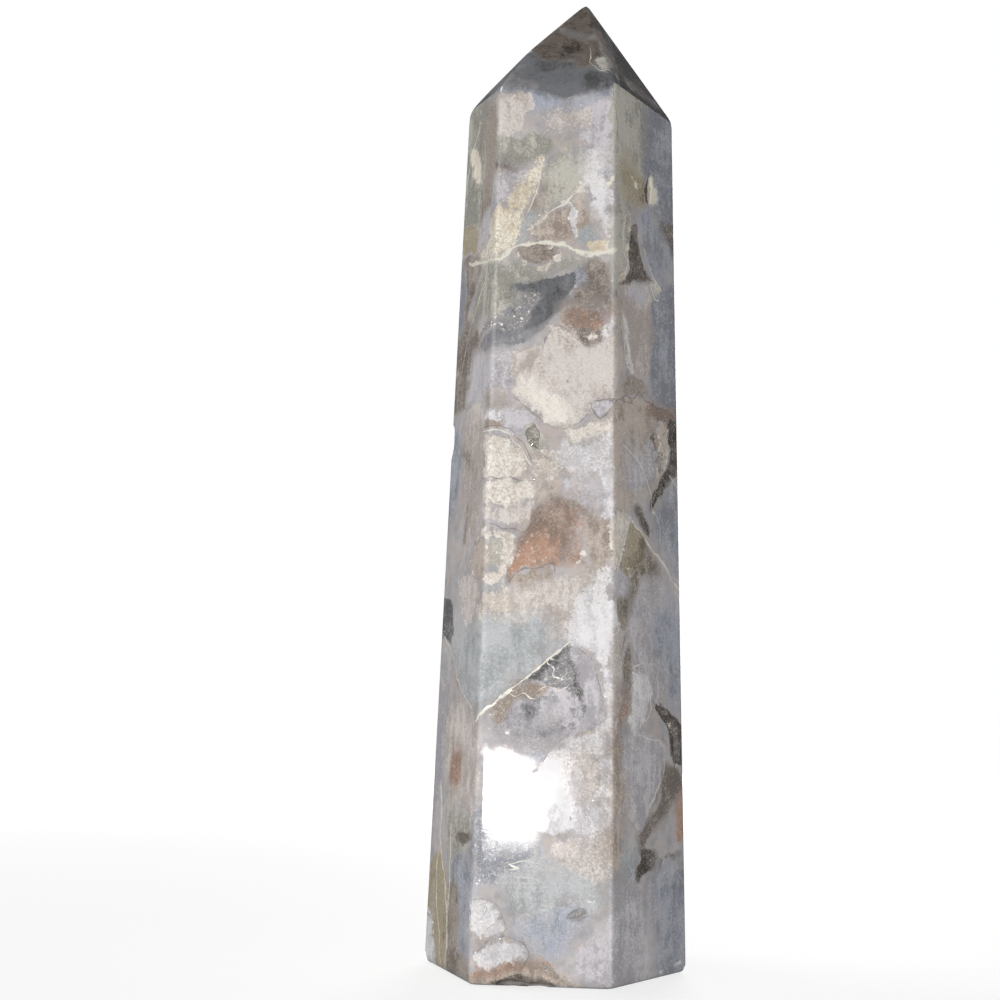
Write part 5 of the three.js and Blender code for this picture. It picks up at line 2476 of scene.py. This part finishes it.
    def crystals(self, colour: Signal) -> Signal:
        """The sugary face of the plumes that have one: pale knots, and darker gaps between them.

        Args:
            colour: The colours so far.

        Returns:
            The colours with the grains.
        """
        graph, sugary = self.graph, self.sugary
        gaps = graph.smooth(self.sugar, 0.4, 0.7) * 0.5 * self.coarse
        worms = graph.smooth(abs(graph.cloud(self.wavy, 1.5, 2.0, 0.6) - 0.5), 0.05, 0.005) * 0.4
        colour = graph.mix((gaps + worms) * sugary, colour, self.grain_shadow)
        colour = graph.mix(graph.smooth(self.sugar, 0.3, 0.08) * 0.6 * sugary, colour, self.grain_light)
        speckle = graph.cloud(self.place, 7.0, 2.0, 0.6)
        grain = graph.smooth(sugary, -0.05, 0.25)
        colour = graph.mix(graph.smooth(speckle, 0.5, 0.28) * grain * 0.3, colour, self.grain_shadow)
        colour = graph.mix(graph.smooth(speckle, 0.5, 0.72) * grain * 0.24, colour, self.grain_light)
        threads = graph.smooth(self.swirl, 0.8, 1.0) * self.patchy
        colour = graph.mix(threads * (grain * 0.4), colour, self.grain_light)
        # Flecks: white specks of the stone, and painted glints where small crystals sparkle.
        flecks = graph.smooth(graph.cells(self.wavy, 2.1) + (self.fine - 0.5) * 0.5, 0.3, 0.22)
        return graph.mix(flecks * graph.field("sparks"), colour, self.grain_light)

    def weather(self, colour: Signal) -> Signal:
        """Pale wisps, brown stains and dark specks, which cross from one mineral to the next.

        Args:
            colour: The colours so far.

        Returns:
            The colours with them.
        """
        graph = self.graph
        wisp = graph.cloud(self.wavy, 0.32, 5.0, 0.68)
        colour = graph.mix(graph.smooth(wisp, 0.54, 0.74) * 0.2, colour, self.veil_colour)
        stain = graph.smooth(wisp + self.middle * 0.3, 0.56, 0.42)
        colour = graph.mix(stain * 0.16, colour, self.stain_colour)
        speck = graph.smooth(self.sugar + self.wide * 0.5, 0.16, 0.1)
        return graph.mix(speck * 0.35, colour, self.speck_colour)

    def thread(self, seam: Seam, under: Signal) -> tuple[Signal, Signal]:
        """Draws one kind of thin line over what is there.

        Args:
            seam: The kind of line.
            under: The colours so far.

        Returns:
            The colours with the lines, and where the lines are.
        """
        graph = self.graph
        side = graph.field(f"{seam.value}_side") + (self.fine - 0.5) * 2.2
        gap = graph.field(f"{seam.value}_gap")
        narrow = graph.smooth(self.middle, 0.4, 0.62) * 1.4 + 0.6
        mask = graph.smooth(abs(side) * narrow, 1.3, 0.3) * graph.smooth(gap, 0.5, 0.25)
        mask = mask * graph.smooth(self.middle + self.fine * 0.3, 0.4, 0.55)
        return graph.mix(mask * self.seam_strengths[seam], under, self.seam_colours[seam]), mask

    def scratches(self) -> Signal:
        """Fine scratches from handling, level ones and slanting ones, in patches.

        Returns:
            One on a scratch, and zero beside it.
        """
        graph = self.graph
        level = graph.vector("MULTIPLY", self.place, (0.35, 0.35, 9.0))
        slanting = graph.node("ShaderNodeMapping", {}, {"Vector": self.place, "Rotation": (0.4, 0.9, 0.3)})
        slanting = graph.vector("MULTIPLY", graph.signal(slanting), (8.0, 8.0, 0.3))
        lines = graph.smooth(graph.cloud(level, 1.0, 0.0), 0.7, 0.76)
        lines = lines + graph.smooth(graph.cloud(slanting, 1.0, 0.0), 0.71, 0.77)
        return lines * graph.smooth(self.wide, 0.42, 0.55)

    def build(self) -> bpy.types.Material:
        """Joins the minerals, the lines, the breaks and the polish in one material.

        Returns:
            The material.
        """
        graph, polish = self.graph, self.polish
        self.sugary = graph.field("sugar")
        self.dullness = self.sugary * 0.015
        colour = self.ground()
        for kind in Mineral:
            colour = self.lay(kind, colour)
        colour = self.weather(self.crystals(colour))
        colour, pale = self.thread(Seam.PALE, colour)
        colour, dark = self.thread(Seam.DARK, colour)
        flaked = graph.smooth(graph.field("flaked") + (self.fine - 0.5) * 0.2, 0.04, 0.2)
        lined = graph.smooth(graph.field("lined") + (self.fine - 0.5) * 0.2, 0.04, 0.25)
        # The broken grey: the chips' own colour, and painted shade where it is laid thickly in the bites at
        # the foot.
        broken_grey_and_shade = graph.mix(graph.smooth(self.middle, 0.4, 0.6), self.broken, self.broken_pale)
        colour = graph.mix(flaked * graph.field("chipped"), colour, broken_grey_and_shade)
        # Painted shade: the floors of the crystal-lined openings are greyed a little.
        colour = graph.mix(lined * 0.35, colour, self.hollow)
        graph.feed(graph.shader.inputs["Base Color"], colour)
        hazy = graph.smooth(self.middle * 0.4 + self.fine * 0.6, 0.47, 0.6)
        clear = polish.roughness + hazy * polish.haze
        rough = clear + self.dullness + flaked * 0.3 + lined * 0.35 + dark * 0.1 + pale * 0.1
        graph.feed(graph.shader.inputs["Roughness"], rough)
        swell = graph.cloud(self.place, 0.55, 2.0, 0.4)
        height = swell * polish.swell + self.fine * polish.peel - self.scratches() * polish.scratch
        height = height - dark * 0.006 - pale * 0.005 + (flaked + lined) * (self.fine * 0.06)
        height = height + self.sugary * self.fine * polish.grit
        graph.feed(graph.shader.inputs["Normal"], graph.bump(height))
        graph.shader.inputs["IOR"].default_value = polish.ior
        graph.shader.inputs["Subsurface Weight"].default_value = polish.depth
        graph.shader.inputs["Subsurface Radius"].default_value = (1.0, 0.8, 0.7)
        graph.shader.inputs["Subsurface Scale"].default_value = polish.depth_radius * MM
        return graph.material


def quartz_material() -> bpy.types.Material:
    """The small crystals in the openings: milky quartz with bright clean faces.

    Returns:
        The material.
    """
    graph = Graph("druse_quartz")
    place = graph.place()
    cloudy = graph.smooth(graph.cloud(place, 2.2, 2.0), 0.38, 0.6)
    colour = graph.mix(cloudy, linear(168, 160, 150), linear(236, 232, 226))
    graph.feed(graph.shader.inputs["Base Color"], colour)
    graph.feed(graph.shader.inputs["Roughness"], 0.06 + graph.cloud(place, 9.0, 1.0) * 0.1)
    graph.shader.inputs["IOR"].default_value = QUARTZ_IOR
    return graph.material


# The crystals in the openings


def place_in_scene(name: str, data: bpy.types.ID | None) -> bpy.types.Object:
    """Adds an object to the scene.

    Args:
        name: The object's name.
        data: Its mesh, light or camera.

    Returns:
        The object.
    """
    added = bpy.data.objects.new(name, data)
    bpy.context.collection.objects.link(added)
    return added


@dataclass
class Druse:
    """Small quartz points that stand on the floors of the crystal-lined openings.

    Attributes:
        per_square: Crystals on a square millimetre of floor.
        smallest: Length of the smallest crystal, in millimetres.
        largest: Length of the largest.
        slim: Width of a crystal as a share of its length.
        tilt: How far a crystal leans from the wall, in radians.
        seed: Starts the draws.
        lowest: How deep a face must lie in an opening to carry crystals, from 0 to 1.
        belt: The heights of a crystal, as shares of its length, between which its shoulder lies.
        widening: How much wider and higher the shoulder is than the cone it starts from.
    """

    per_square: float = 9.0
    smallest: float = 0.14
    largest: float = 0.36
    slim: float = 0.42
    tilt: float = 0.55
    seed: int = 5
    lowest: float = 0.3
    belt: Span = (0.25, 0.75)
    widening: tuple[float, float, float] = (2.0, 2.0, 1.3)

    def bed(self, stone: bpy.types.Mesh, lined: np.ndarray) -> bpy.types.Object:
        """The floors of the openings, as an object of their own.

        Args:
            stone: The stone's mesh, in metres.
            lined: How deep each of its points lies in an opening.

        Returns:
            The object.
        """
        deep = lined > self.lowest
        faces = [face for face in stone.polygons if all(deep[index] for index in face.vertices)]
        kept = sorted({index for face in faces for index in face.vertices})
        number = {index: position for position, index in enumerate(kept)}
        mesh = bpy.data.meshes.new("druse_bed")
        points = [tuple(stone.vertices[index].co) for index in kept]
        mesh.from_pydata(points, [], [[number[index] for index in face.vertices] for face in faces])
        return place_in_scene("druse", mesh)

    def tree(self, material: bpy.types.Material) -> bpy.types.NodeTree:
        """The rule by which the crystals grow: six-sided prisms that end in a point.

        Args:
            material: What the crystals are made of.

        Returns:
            The rule, as a group of geometry nodes.
        """
        tree = bpy.data.node_groups.new("grow_crystals", "GeometryNodeTree")
        tree.interface.new_socket("Geometry", in_out="INPUT", socket_type="NodeSocketGeometry")
        for name in ("Density", "Smallest", "Largest", "Slim", "Tilt"):
            tree.interface.new_socket(name, in_out="INPUT", socket_type="NodeSocketFloat")
        tree.interface.new_socket("Seed", in_out="INPUT", socket_type="NodeSocketInt")
        tree.interface.new_socket("Geometry", in_out="OUTPUT", socket_type="NodeSocketGeometry")
        nodes, links = tree.nodes, tree.links
        given, result = nodes.new("NodeGroupInput"), nodes.new("NodeGroupOutput")

        def add(kind: str, settings: dict[str, Any], inputs: dict[str | int, Any]) -> bpy.types.Node:
            """Adds a node.

            Args:
                kind: The node's type.
                settings: Its own settings.
                inputs: Values for its sockets, or the sockets that feed them.

            Returns:
                The node.
            """
            node = nodes.new(kind)
            for name, value in settings.items():
                setattr(node, name, value)
            for key, value in inputs.items():
                if isinstance(value, bpy.types.NodeSocket):
                    links.new(value, node.inputs[key])
                else:
                    node.inputs[key].default_value = value
            return node

        seed, tilt = given.outputs["Seed"], given.outputs["Tilt"]
        cone_inputs = {"Vertices": 6, "Side Segments": 2, "Fill Segments": 1, "Radius Top": 0.0, "Depth": 1.0}
        cone = add("GeometryNodeMeshCone", {"fill_type": "NGON"}, cone_inputs)
        links.new(given.outputs["Slim"], cone.inputs["Radius Bottom"])
        position = add("GeometryNodeInputPosition", {}, {}).outputs[0]
        height = add("ShaderNodeSeparateXYZ", {}, {0: position}).outputs["Z"]
        above = add("FunctionNodeCompare", {"operation": "GREATER_THAN"}, {0: height, 1: self.belt[0]})
        below = add("FunctionNodeCompare", {"operation": "LESS_THAN"}, {0: height, 1: self.belt[1]})
        both = {0: above.outputs[0], 1: below.outputs[0]}
        belt = add("FunctionNodeBooleanMath", {"operation": "AND"}, both)
        wider = add("ShaderNodeVectorMath", {"operation": "MULTIPLY"}, {0: position, 1: self.widening})
        prism_inputs = {
            "Geometry": cone.outputs["Mesh"], "Selection": belt.outputs[0], "Position": wider.outputs[0],
        }
        prism = add("GeometryNodeSetPosition", {}, prism_inputs)
        scatter_inputs = {
            "Mesh": given.outputs["Geometry"], "Density": given.outputs["Density"], "Seed": seed,
        }
        scatter = add("GeometryNodeDistributePointsOnFaces", {}, scatter_inputs)
        size_inputs = {2: given.outputs["Smallest"], 3: given.outputs["Largest"], "Seed": seed}
        size = add("FunctionNodeRandomValue", {"data_type": "FLOAT"}, size_inputs)
        planted_inputs = {
            "Points": scatter.outputs["Points"],
            "Instance": prism.outputs["Geometry"],
            "Rotation": scatter.outputs["Rotation"],
            "Scale": size.outputs[1],
        }
        planted = add("GeometryNodeInstanceOnPoints", {}, planted_inputs)
        less = add("ShaderNodeMath", {"operation": "MULTIPLY"}, {0: tilt, 1: -1.0})
        low = add("ShaderNodeCombineXYZ", {}, {0: less.outputs[0], 1: less.outputs[0], 2: -math.pi})
        high = add("ShaderNodeCombineXYZ", {}, {0: tilt, 1: tilt, 2: math.pi})
        lean_inputs = {0: low.outputs[0], 1: high.outputs[0], "Seed": seed}
        lean = add("FunctionNodeRandomValue", {"data_type": "FLOAT_VECTOR"}, lean_inputs)
        leaning_inputs = {"Instances": planted.outputs[0], "Rotation": lean.outputs[0]}
        leaning = add("GeometryNodeRotateInstances", {}, leaning_inputs)
        real = add("GeometryNodeRealizeInstances", {}, {0: leaning.outputs[0]})
        dressed = add("GeometryNodeSetMaterial", {}, {"Geometry": real.outputs[0], "Material": material})
        links.new(dressed.outputs[0], result.inputs[0])
        return tree

    def build(self, stone: bpy.types.Mesh, lined: np.ndarray) -> bpy.types.Object:
        """Grows the crystals and turns them into a plain mesh.

        Args:
            stone: The stone's mesh, in metres.
            lined: How deep each of its points lies in an opening.

        Returns:
            The object that holds every crystal.
        """
        bed = self.bed(stone, lined)
        tree = self.tree(quartz_material())
        modifier = bed.modifiers.new("grow_crystals", "NODES")
        modifier.node_group = tree
        sizes = {
            "Density": self.per_square / MM**2,
            "Smallest": self.smallest * MM,
            "Largest": self.largest * MM,
            "Slim": self.slim / 2,
            "Tilt": self.tilt,
            "Seed": self.seed,
        }
        for item in tree.interface.items_tree:
            if item.in_out == "INPUT" and item.name in sizes:
                modifier[item.identifier] = sizes[item.name]
        evaluated = bed.evaluated_get(bpy.context.evaluated_depsgraph_get())
        grown = bpy.data.meshes.new_from_object(evaluated)
        bed.modifiers.remove(modifier)
        bed.data = grown
        return bed


# Studio, camera and the hand-over to the frame


@dataclass(frozen=True)
class SoftLight:
    """A large soft light that faces the stone.

    Attributes:
        name: The light's name.
        azimuth: Degrees from the front towards +X.
        elevation: Degrees above the floor.
        brightness: How bright it makes a white card that faces it at the stone.
        radius: Its radius in millimetres.
    """

    name: str
    azimuth: float
    elevation: float
    brightness: float
    radius: float


SOFT_LIGHTS = (
    SoftLight("soft_front", -38, 0, 0.55, 300),
    SoftLight("soft_front_right", 40, 0, 0.3, 280),
    SoftLight("soft_right", 72, 32, 0.03, 300),
    SoftLight("soft_left", -98, 28, 0.05, 300),
    SoftLight("soft_behind", 168, 12, 0.5, 170),
    SoftLight("soft_back", 250, 50, 0.4, 150),
)


@dataclass
class Studio:
    """The camera at the photograph's viewpoint, the soft lights and the pale floor.

    Attributes:
        eye: Where the photograph was taken from.
        floor_radius: Radius of the level floor, in millimetres.
        wall_bend: Radius of the curve between the floor and the wall.
        wall_height: Height of the wall.
        wall_steps: Steps of that curve.
        wall_turns: Corners of the floor's round outline.
        soft_distance: How far the soft lights stand from the stone.
        soft_colour: Their colour.
        near_glow: How bright the floor is beside the stone.
        far_glow: How bright it is farther away.
        glow_reach: Where it starts to be brighter, and where it is brightest, in metres.
        flash_colour: The colour of the lamp beside the lens.
        flash_aim: What that lamp faces, in the stone's own axes.
        flash_radii: Its two radii.
        flash_turn: How far its oval is turned, in degrees.
        flash_brightness: How bright it makes a white card at the stone.
        flash_aside: How far to the right of the lens it is.
        flash_below: How far above the lens it is; below zero is under it.
        flash_back: How far behind the lens it is.
        sky_colour: Colour of the even sky.
        sky_strength: How bright that sky is.
    """

    eye: Eye
    floor_radius: float = 900.0
    wall_bend: float = 150.0
    wall_height: float = 1600.0
    wall_steps: int = 12
    wall_turns: int = 64
    soft_distance: float = 520.0
    soft_colour: tuple[float, float, float] = (1.0, 0.99, 0.98)
    near_glow: tuple[float, ...] = (0.76, 0.76, 0.76, 1.0)
    far_glow: tuple[float, ...] = (0.97, 0.97, 0.97, 1.0)
    glow_reach: Span = (0.05, 0.45)
    flash_colour: tuple[float, float, float] = (1.0, 0.98, 0.96)
    flash_aim: tuple[float, float, float] = (0.0, -12.0, 40.0)
    flash_radii: tuple[float, float] = (7.0, 3.2)
    flash_turn: float = -42.0
    flash_brightness: float = 0.3
    flash_aside: float = -11.0
    flash_below: float = -8.4
    flash_back: float = 2.0
    sky_colour: tuple[float, ...] = (0.93, 0.96, 1.0, 1.0)
    sky_strength: float = 0.12

    def to_frame(self, place: np.ndarray) -> Vector:
        """A place in the stone's own axes as one in the shared frame, in metres."""
        return Vector((place - PLAN_CENTRE) * MM)

    def add_camera(self) -> bpy.types.Object:
        """Stands the camera where the photograph was taken from.

        Returns:
            The camera.
        """
        right, up, sight = self.eye.axes
        data = bpy.data.cameras.new("camera")
        data.sensor_width = SENSOR_MM
        data.lens = self.eye.focal_px / PHOTO_SIZE * SENSOR_MM
        data.clip_start = 0.005
        camera = place_in_scene("camera", data)
        turn = Matrix((right, up, -sight)).transposed().to_4x4()
        camera.matrix_world = Matrix.Translation(self.to_frame(self.eye.place)) @ turn
        bpy.context.scene.camera = camera
        return camera

    def add_oval_light(
        self,
        name: str,
        place: np.ndarray,
        target: np.ndarray,
        radii: tuple[float, float],
        power: float,
        colour: tuple[float, float, float],
        turn: float = 0.0,
    ) -> None:
        """Adds an oval area light that faces a target.

        Args:
            name: The light's name.
            place: Where it stands, in the stone's own axes.
            target: What it faces.
            radii: Its two radii in millimetres.
            power: Its power in watts.
            colour: Its colour.
            turn: How far it is turned about its own axis, in degrees.
        """
        data = bpy.data.lights.new(name, "AREA")
        data.shape = "ELLIPSE"
        data.size, data.size_y = (2 * radius * MM for radius in radii)
        data.energy = power
        data.color = colour
        lamp = place_in_scene(name, data)
        lamp.location = self.to_frame(place)
        aim = Vector((target - place).tolist())
        spin = Matrix.Rotation(math.radians(turn), 3, "Z")
        lamp.rotation_euler = (aim.to_track_quat("-Z", "Y").to_matrix() @ spin).to_euler()

    def add_soft_light(self, light: SoftLight) -> None:
        """Adds a large soft light.

        Args:
            light: Where it stands, and how large and bright it is.
        """
        turn, rise = math.radians(light.azimuth), math.radians(light.elevation)
        aim = np.array([0.0, 0.0, HEIGHT / 2])
        level = math.cos(rise)
        outward = np.array([math.sin(turn) * level, -math.cos(turn) * level, math.sin(rise)])
        power = light.brightness * (math.pi * self.soft_distance * MM) ** 2
        place = aim + outward * self.soft_distance
        radii = (light.radius, light.radius)
        self.add_oval_light(light.name, place, aim, radii, power, self.soft_colour)

    def add_lights(self) -> None:
        """Adds the small lamp beside the lens and the large soft ones."""
        right, up, sight = self.eye.axes
        aside = right * self.flash_aside + up * self.flash_below - sight * self.flash_back
        self.add_oval_light(
            name="lamp_by_lens",
            place=self.eye.place + aside,
            target=np.array(self.flash_aim),
            radii=self.flash_radii,
            power=self.flash_brightness * (math.pi * self.eye.distance * MM) ** 2,
            colour=self.flash_colour,
            turn=self.flash_turn,
        )
        for light in SOFT_LIGHTS:
            self.add_soft_light(light)

    def add_backdrop(self) -> bpy.types.Object:
        """A pale floor that curves up into a wall all round.

        Returns:
            The floor.
        """
        turns, bend = self.wall_turns, self.wall_bend
        profile = [(self.floor_radius, 0.0)]
        for step in range(1, self.wall_steps + 1):
            angle = math.radians(90 * step / self.wall_steps)
            profile.append((self.floor_radius + bend * math.sin(angle), bend * (1 - math.cos(angle))))
        profile.append((self.floor_radius + bend, self.wall_height))
        points = []
        for radius, height in profile:
            for turn in range(turns):
                angle = 2 * math.pi * turn / turns
                points.append((radius * MM * math.cos(angle), radius * MM * math.sin(angle), height * MM))
        centre = len(points)
        points.append((0.0, 0.0, 0.0))
        faces = [(centre, turn, (turn + 1) % turns) for turn in range(turns)]
        for row in range(len(profile) - 1):
            lower, upper = row * turns, (row + 1) * turns
            for turn in range(turns):
                after = (turn + 1) % turns
                faces.append((lower + turn, upper + turn, upper + after, lower + after))
        mesh = bpy.data.meshes.new("floor")
        mesh.from_pydata(points, [], faces)
        mesh.polygons.foreach_set("use_smooth", [True] * len(mesh.polygons))
        mesh.materials.append(self.floor_material())
        floor = place_in_scene("floor", mesh)
        floor.visible_diffuse = False
        floor.visible_glossy = False
        floor.visible_shadow = False
        return floor

    def floor_material(self) -> bpy.types.Material:
        """Pale card that glows a little more away from the stone, so that no horizon shows.

        Returns:
            The material.
        """
        graph = Graph("pale_floor")
        spot = graph.signal(graph.node("ShaderNodeTexCoord", {}, {}), "Object")
        length = graph.node("ShaderNodeVectorMath", {"operation": "LENGTH"}, {0: spot})
        glow = graph.smooth(graph.signal(length, "Value"), *self.glow_reach)
        graph.feed(graph.shader.inputs["Emission Color"], graph.mix(glow, self.near_glow, self.far_glow))
        graph.shader.inputs["Emission Strength"].default_value = 1.0
        graph.shader.inputs["Base Color"].default_value = (0.2, 0.2, 0.2, 1.0)
        graph.shader.inputs["Roughness"].default_value = 0.8
        return graph.material

    def light_world(self) -> None:
        """Fills in with an even pale sky, and shows colours as they are."""
        world = bpy.data.worlds.new("sky")
        world.use_nodes = True
        sky = world.node_tree.nodes["Background"]
        sky.inputs["Color"].default_value = self.sky_colour
        sky.inputs["Strength"].default_value = self.sky_strength
        bpy.context.scene.world = world
        bpy.context.scene.view_settings.view_transform = "Standard"

    def build(self) -> None:
        """Sets up everything that isn't the stone."""
        self.add_camera()
        self.add_lights()
        self.add_backdrop()
        self.light_world()


@dataclass
class Tower:
    """The whole stone: its mesh, its markings, its polish and the crystals in its openings.

    Attributes:
        shape: The stone's shape.
        eye: Where the photograph's markings are seen from.
        dark_chip_height: Height in millimetres up to which the chips are darker grey, as painted shade in the
            bites at the foot.
        chip_shade_share: How grey they are up to there, from 0 to 1: the broken stone's grey, and painted
            shade.
        grey_above: How grey they are higher up, with the broken stone's own grey.
    """

    shape: Shape
    eye: Eye
    dark_chip_height: float = 6.0
    chip_shade_share: float = 0.8
    grey_above: float = 0.25

    def hand_over(self, piece: bpy.types.Object) -> None:
        """Lets a piece ride with the stone's body, and logs it.

        Args:
            piece: The stone or its crystals.
        """
        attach(piece, BODY)
        triangles = sum(len(face.vertices) - 2 for face in piece.data.polygons)
        log.info("%s: %d points, %d triangles", piece.name, len(piece.data.vertices), triangles)

    def build(self) -> None:
        """Builds the stone and its crystals, and hands them over."""
        mesh, whole, lined, flaked = StoneMesh(self.shape).build(all_scoops())
        fields = Markings(self.shape, self.eye).measure(whole)
        # Chips below that height take most of the broken grey, as painted shade in the bites at the foot.
        chipped = np.where(whole[:, 2] < self.dark_chip_height, self.chip_shade_share, self.grey_above)
        fields |= {"lined": lined, "flaked": flaked, "chipped": chipped}
        for name, values in fields.items():
            kept = mesh.attributes.new(name, "FLOAT", "POINT")
            kept.data.foreach_set("value", values.astype(np.float32))
        write_points(mesh, (read_points(mesh) - PLAN_CENTRE) * MM)
        mesh.polygons.foreach_set("use_smooth", [True] * len(mesh.polygons))
        mesh.materials.append(AgateMaterial(Polish()).build())
        stone = place_in_scene("agate_tower", mesh)
        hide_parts(NODE)
        self.hand_over(stone)
        self.hand_over(Druse().build(mesh, lined))


def main() -> None:
    """Builds the stone, dresses it, and sets the studio round it."""
    logging.basicConfig(level=logging.INFO, format="%(name)s: %(message)s")
    # Without a seed, Blender's noise starts from the time of day.
    noise.seed_set(NOISE_SEED)
    eye = Eye()
    Tower(Shape(), eye).build()
    Studio(eye).build()


if __name__ == "__main__":
    main()
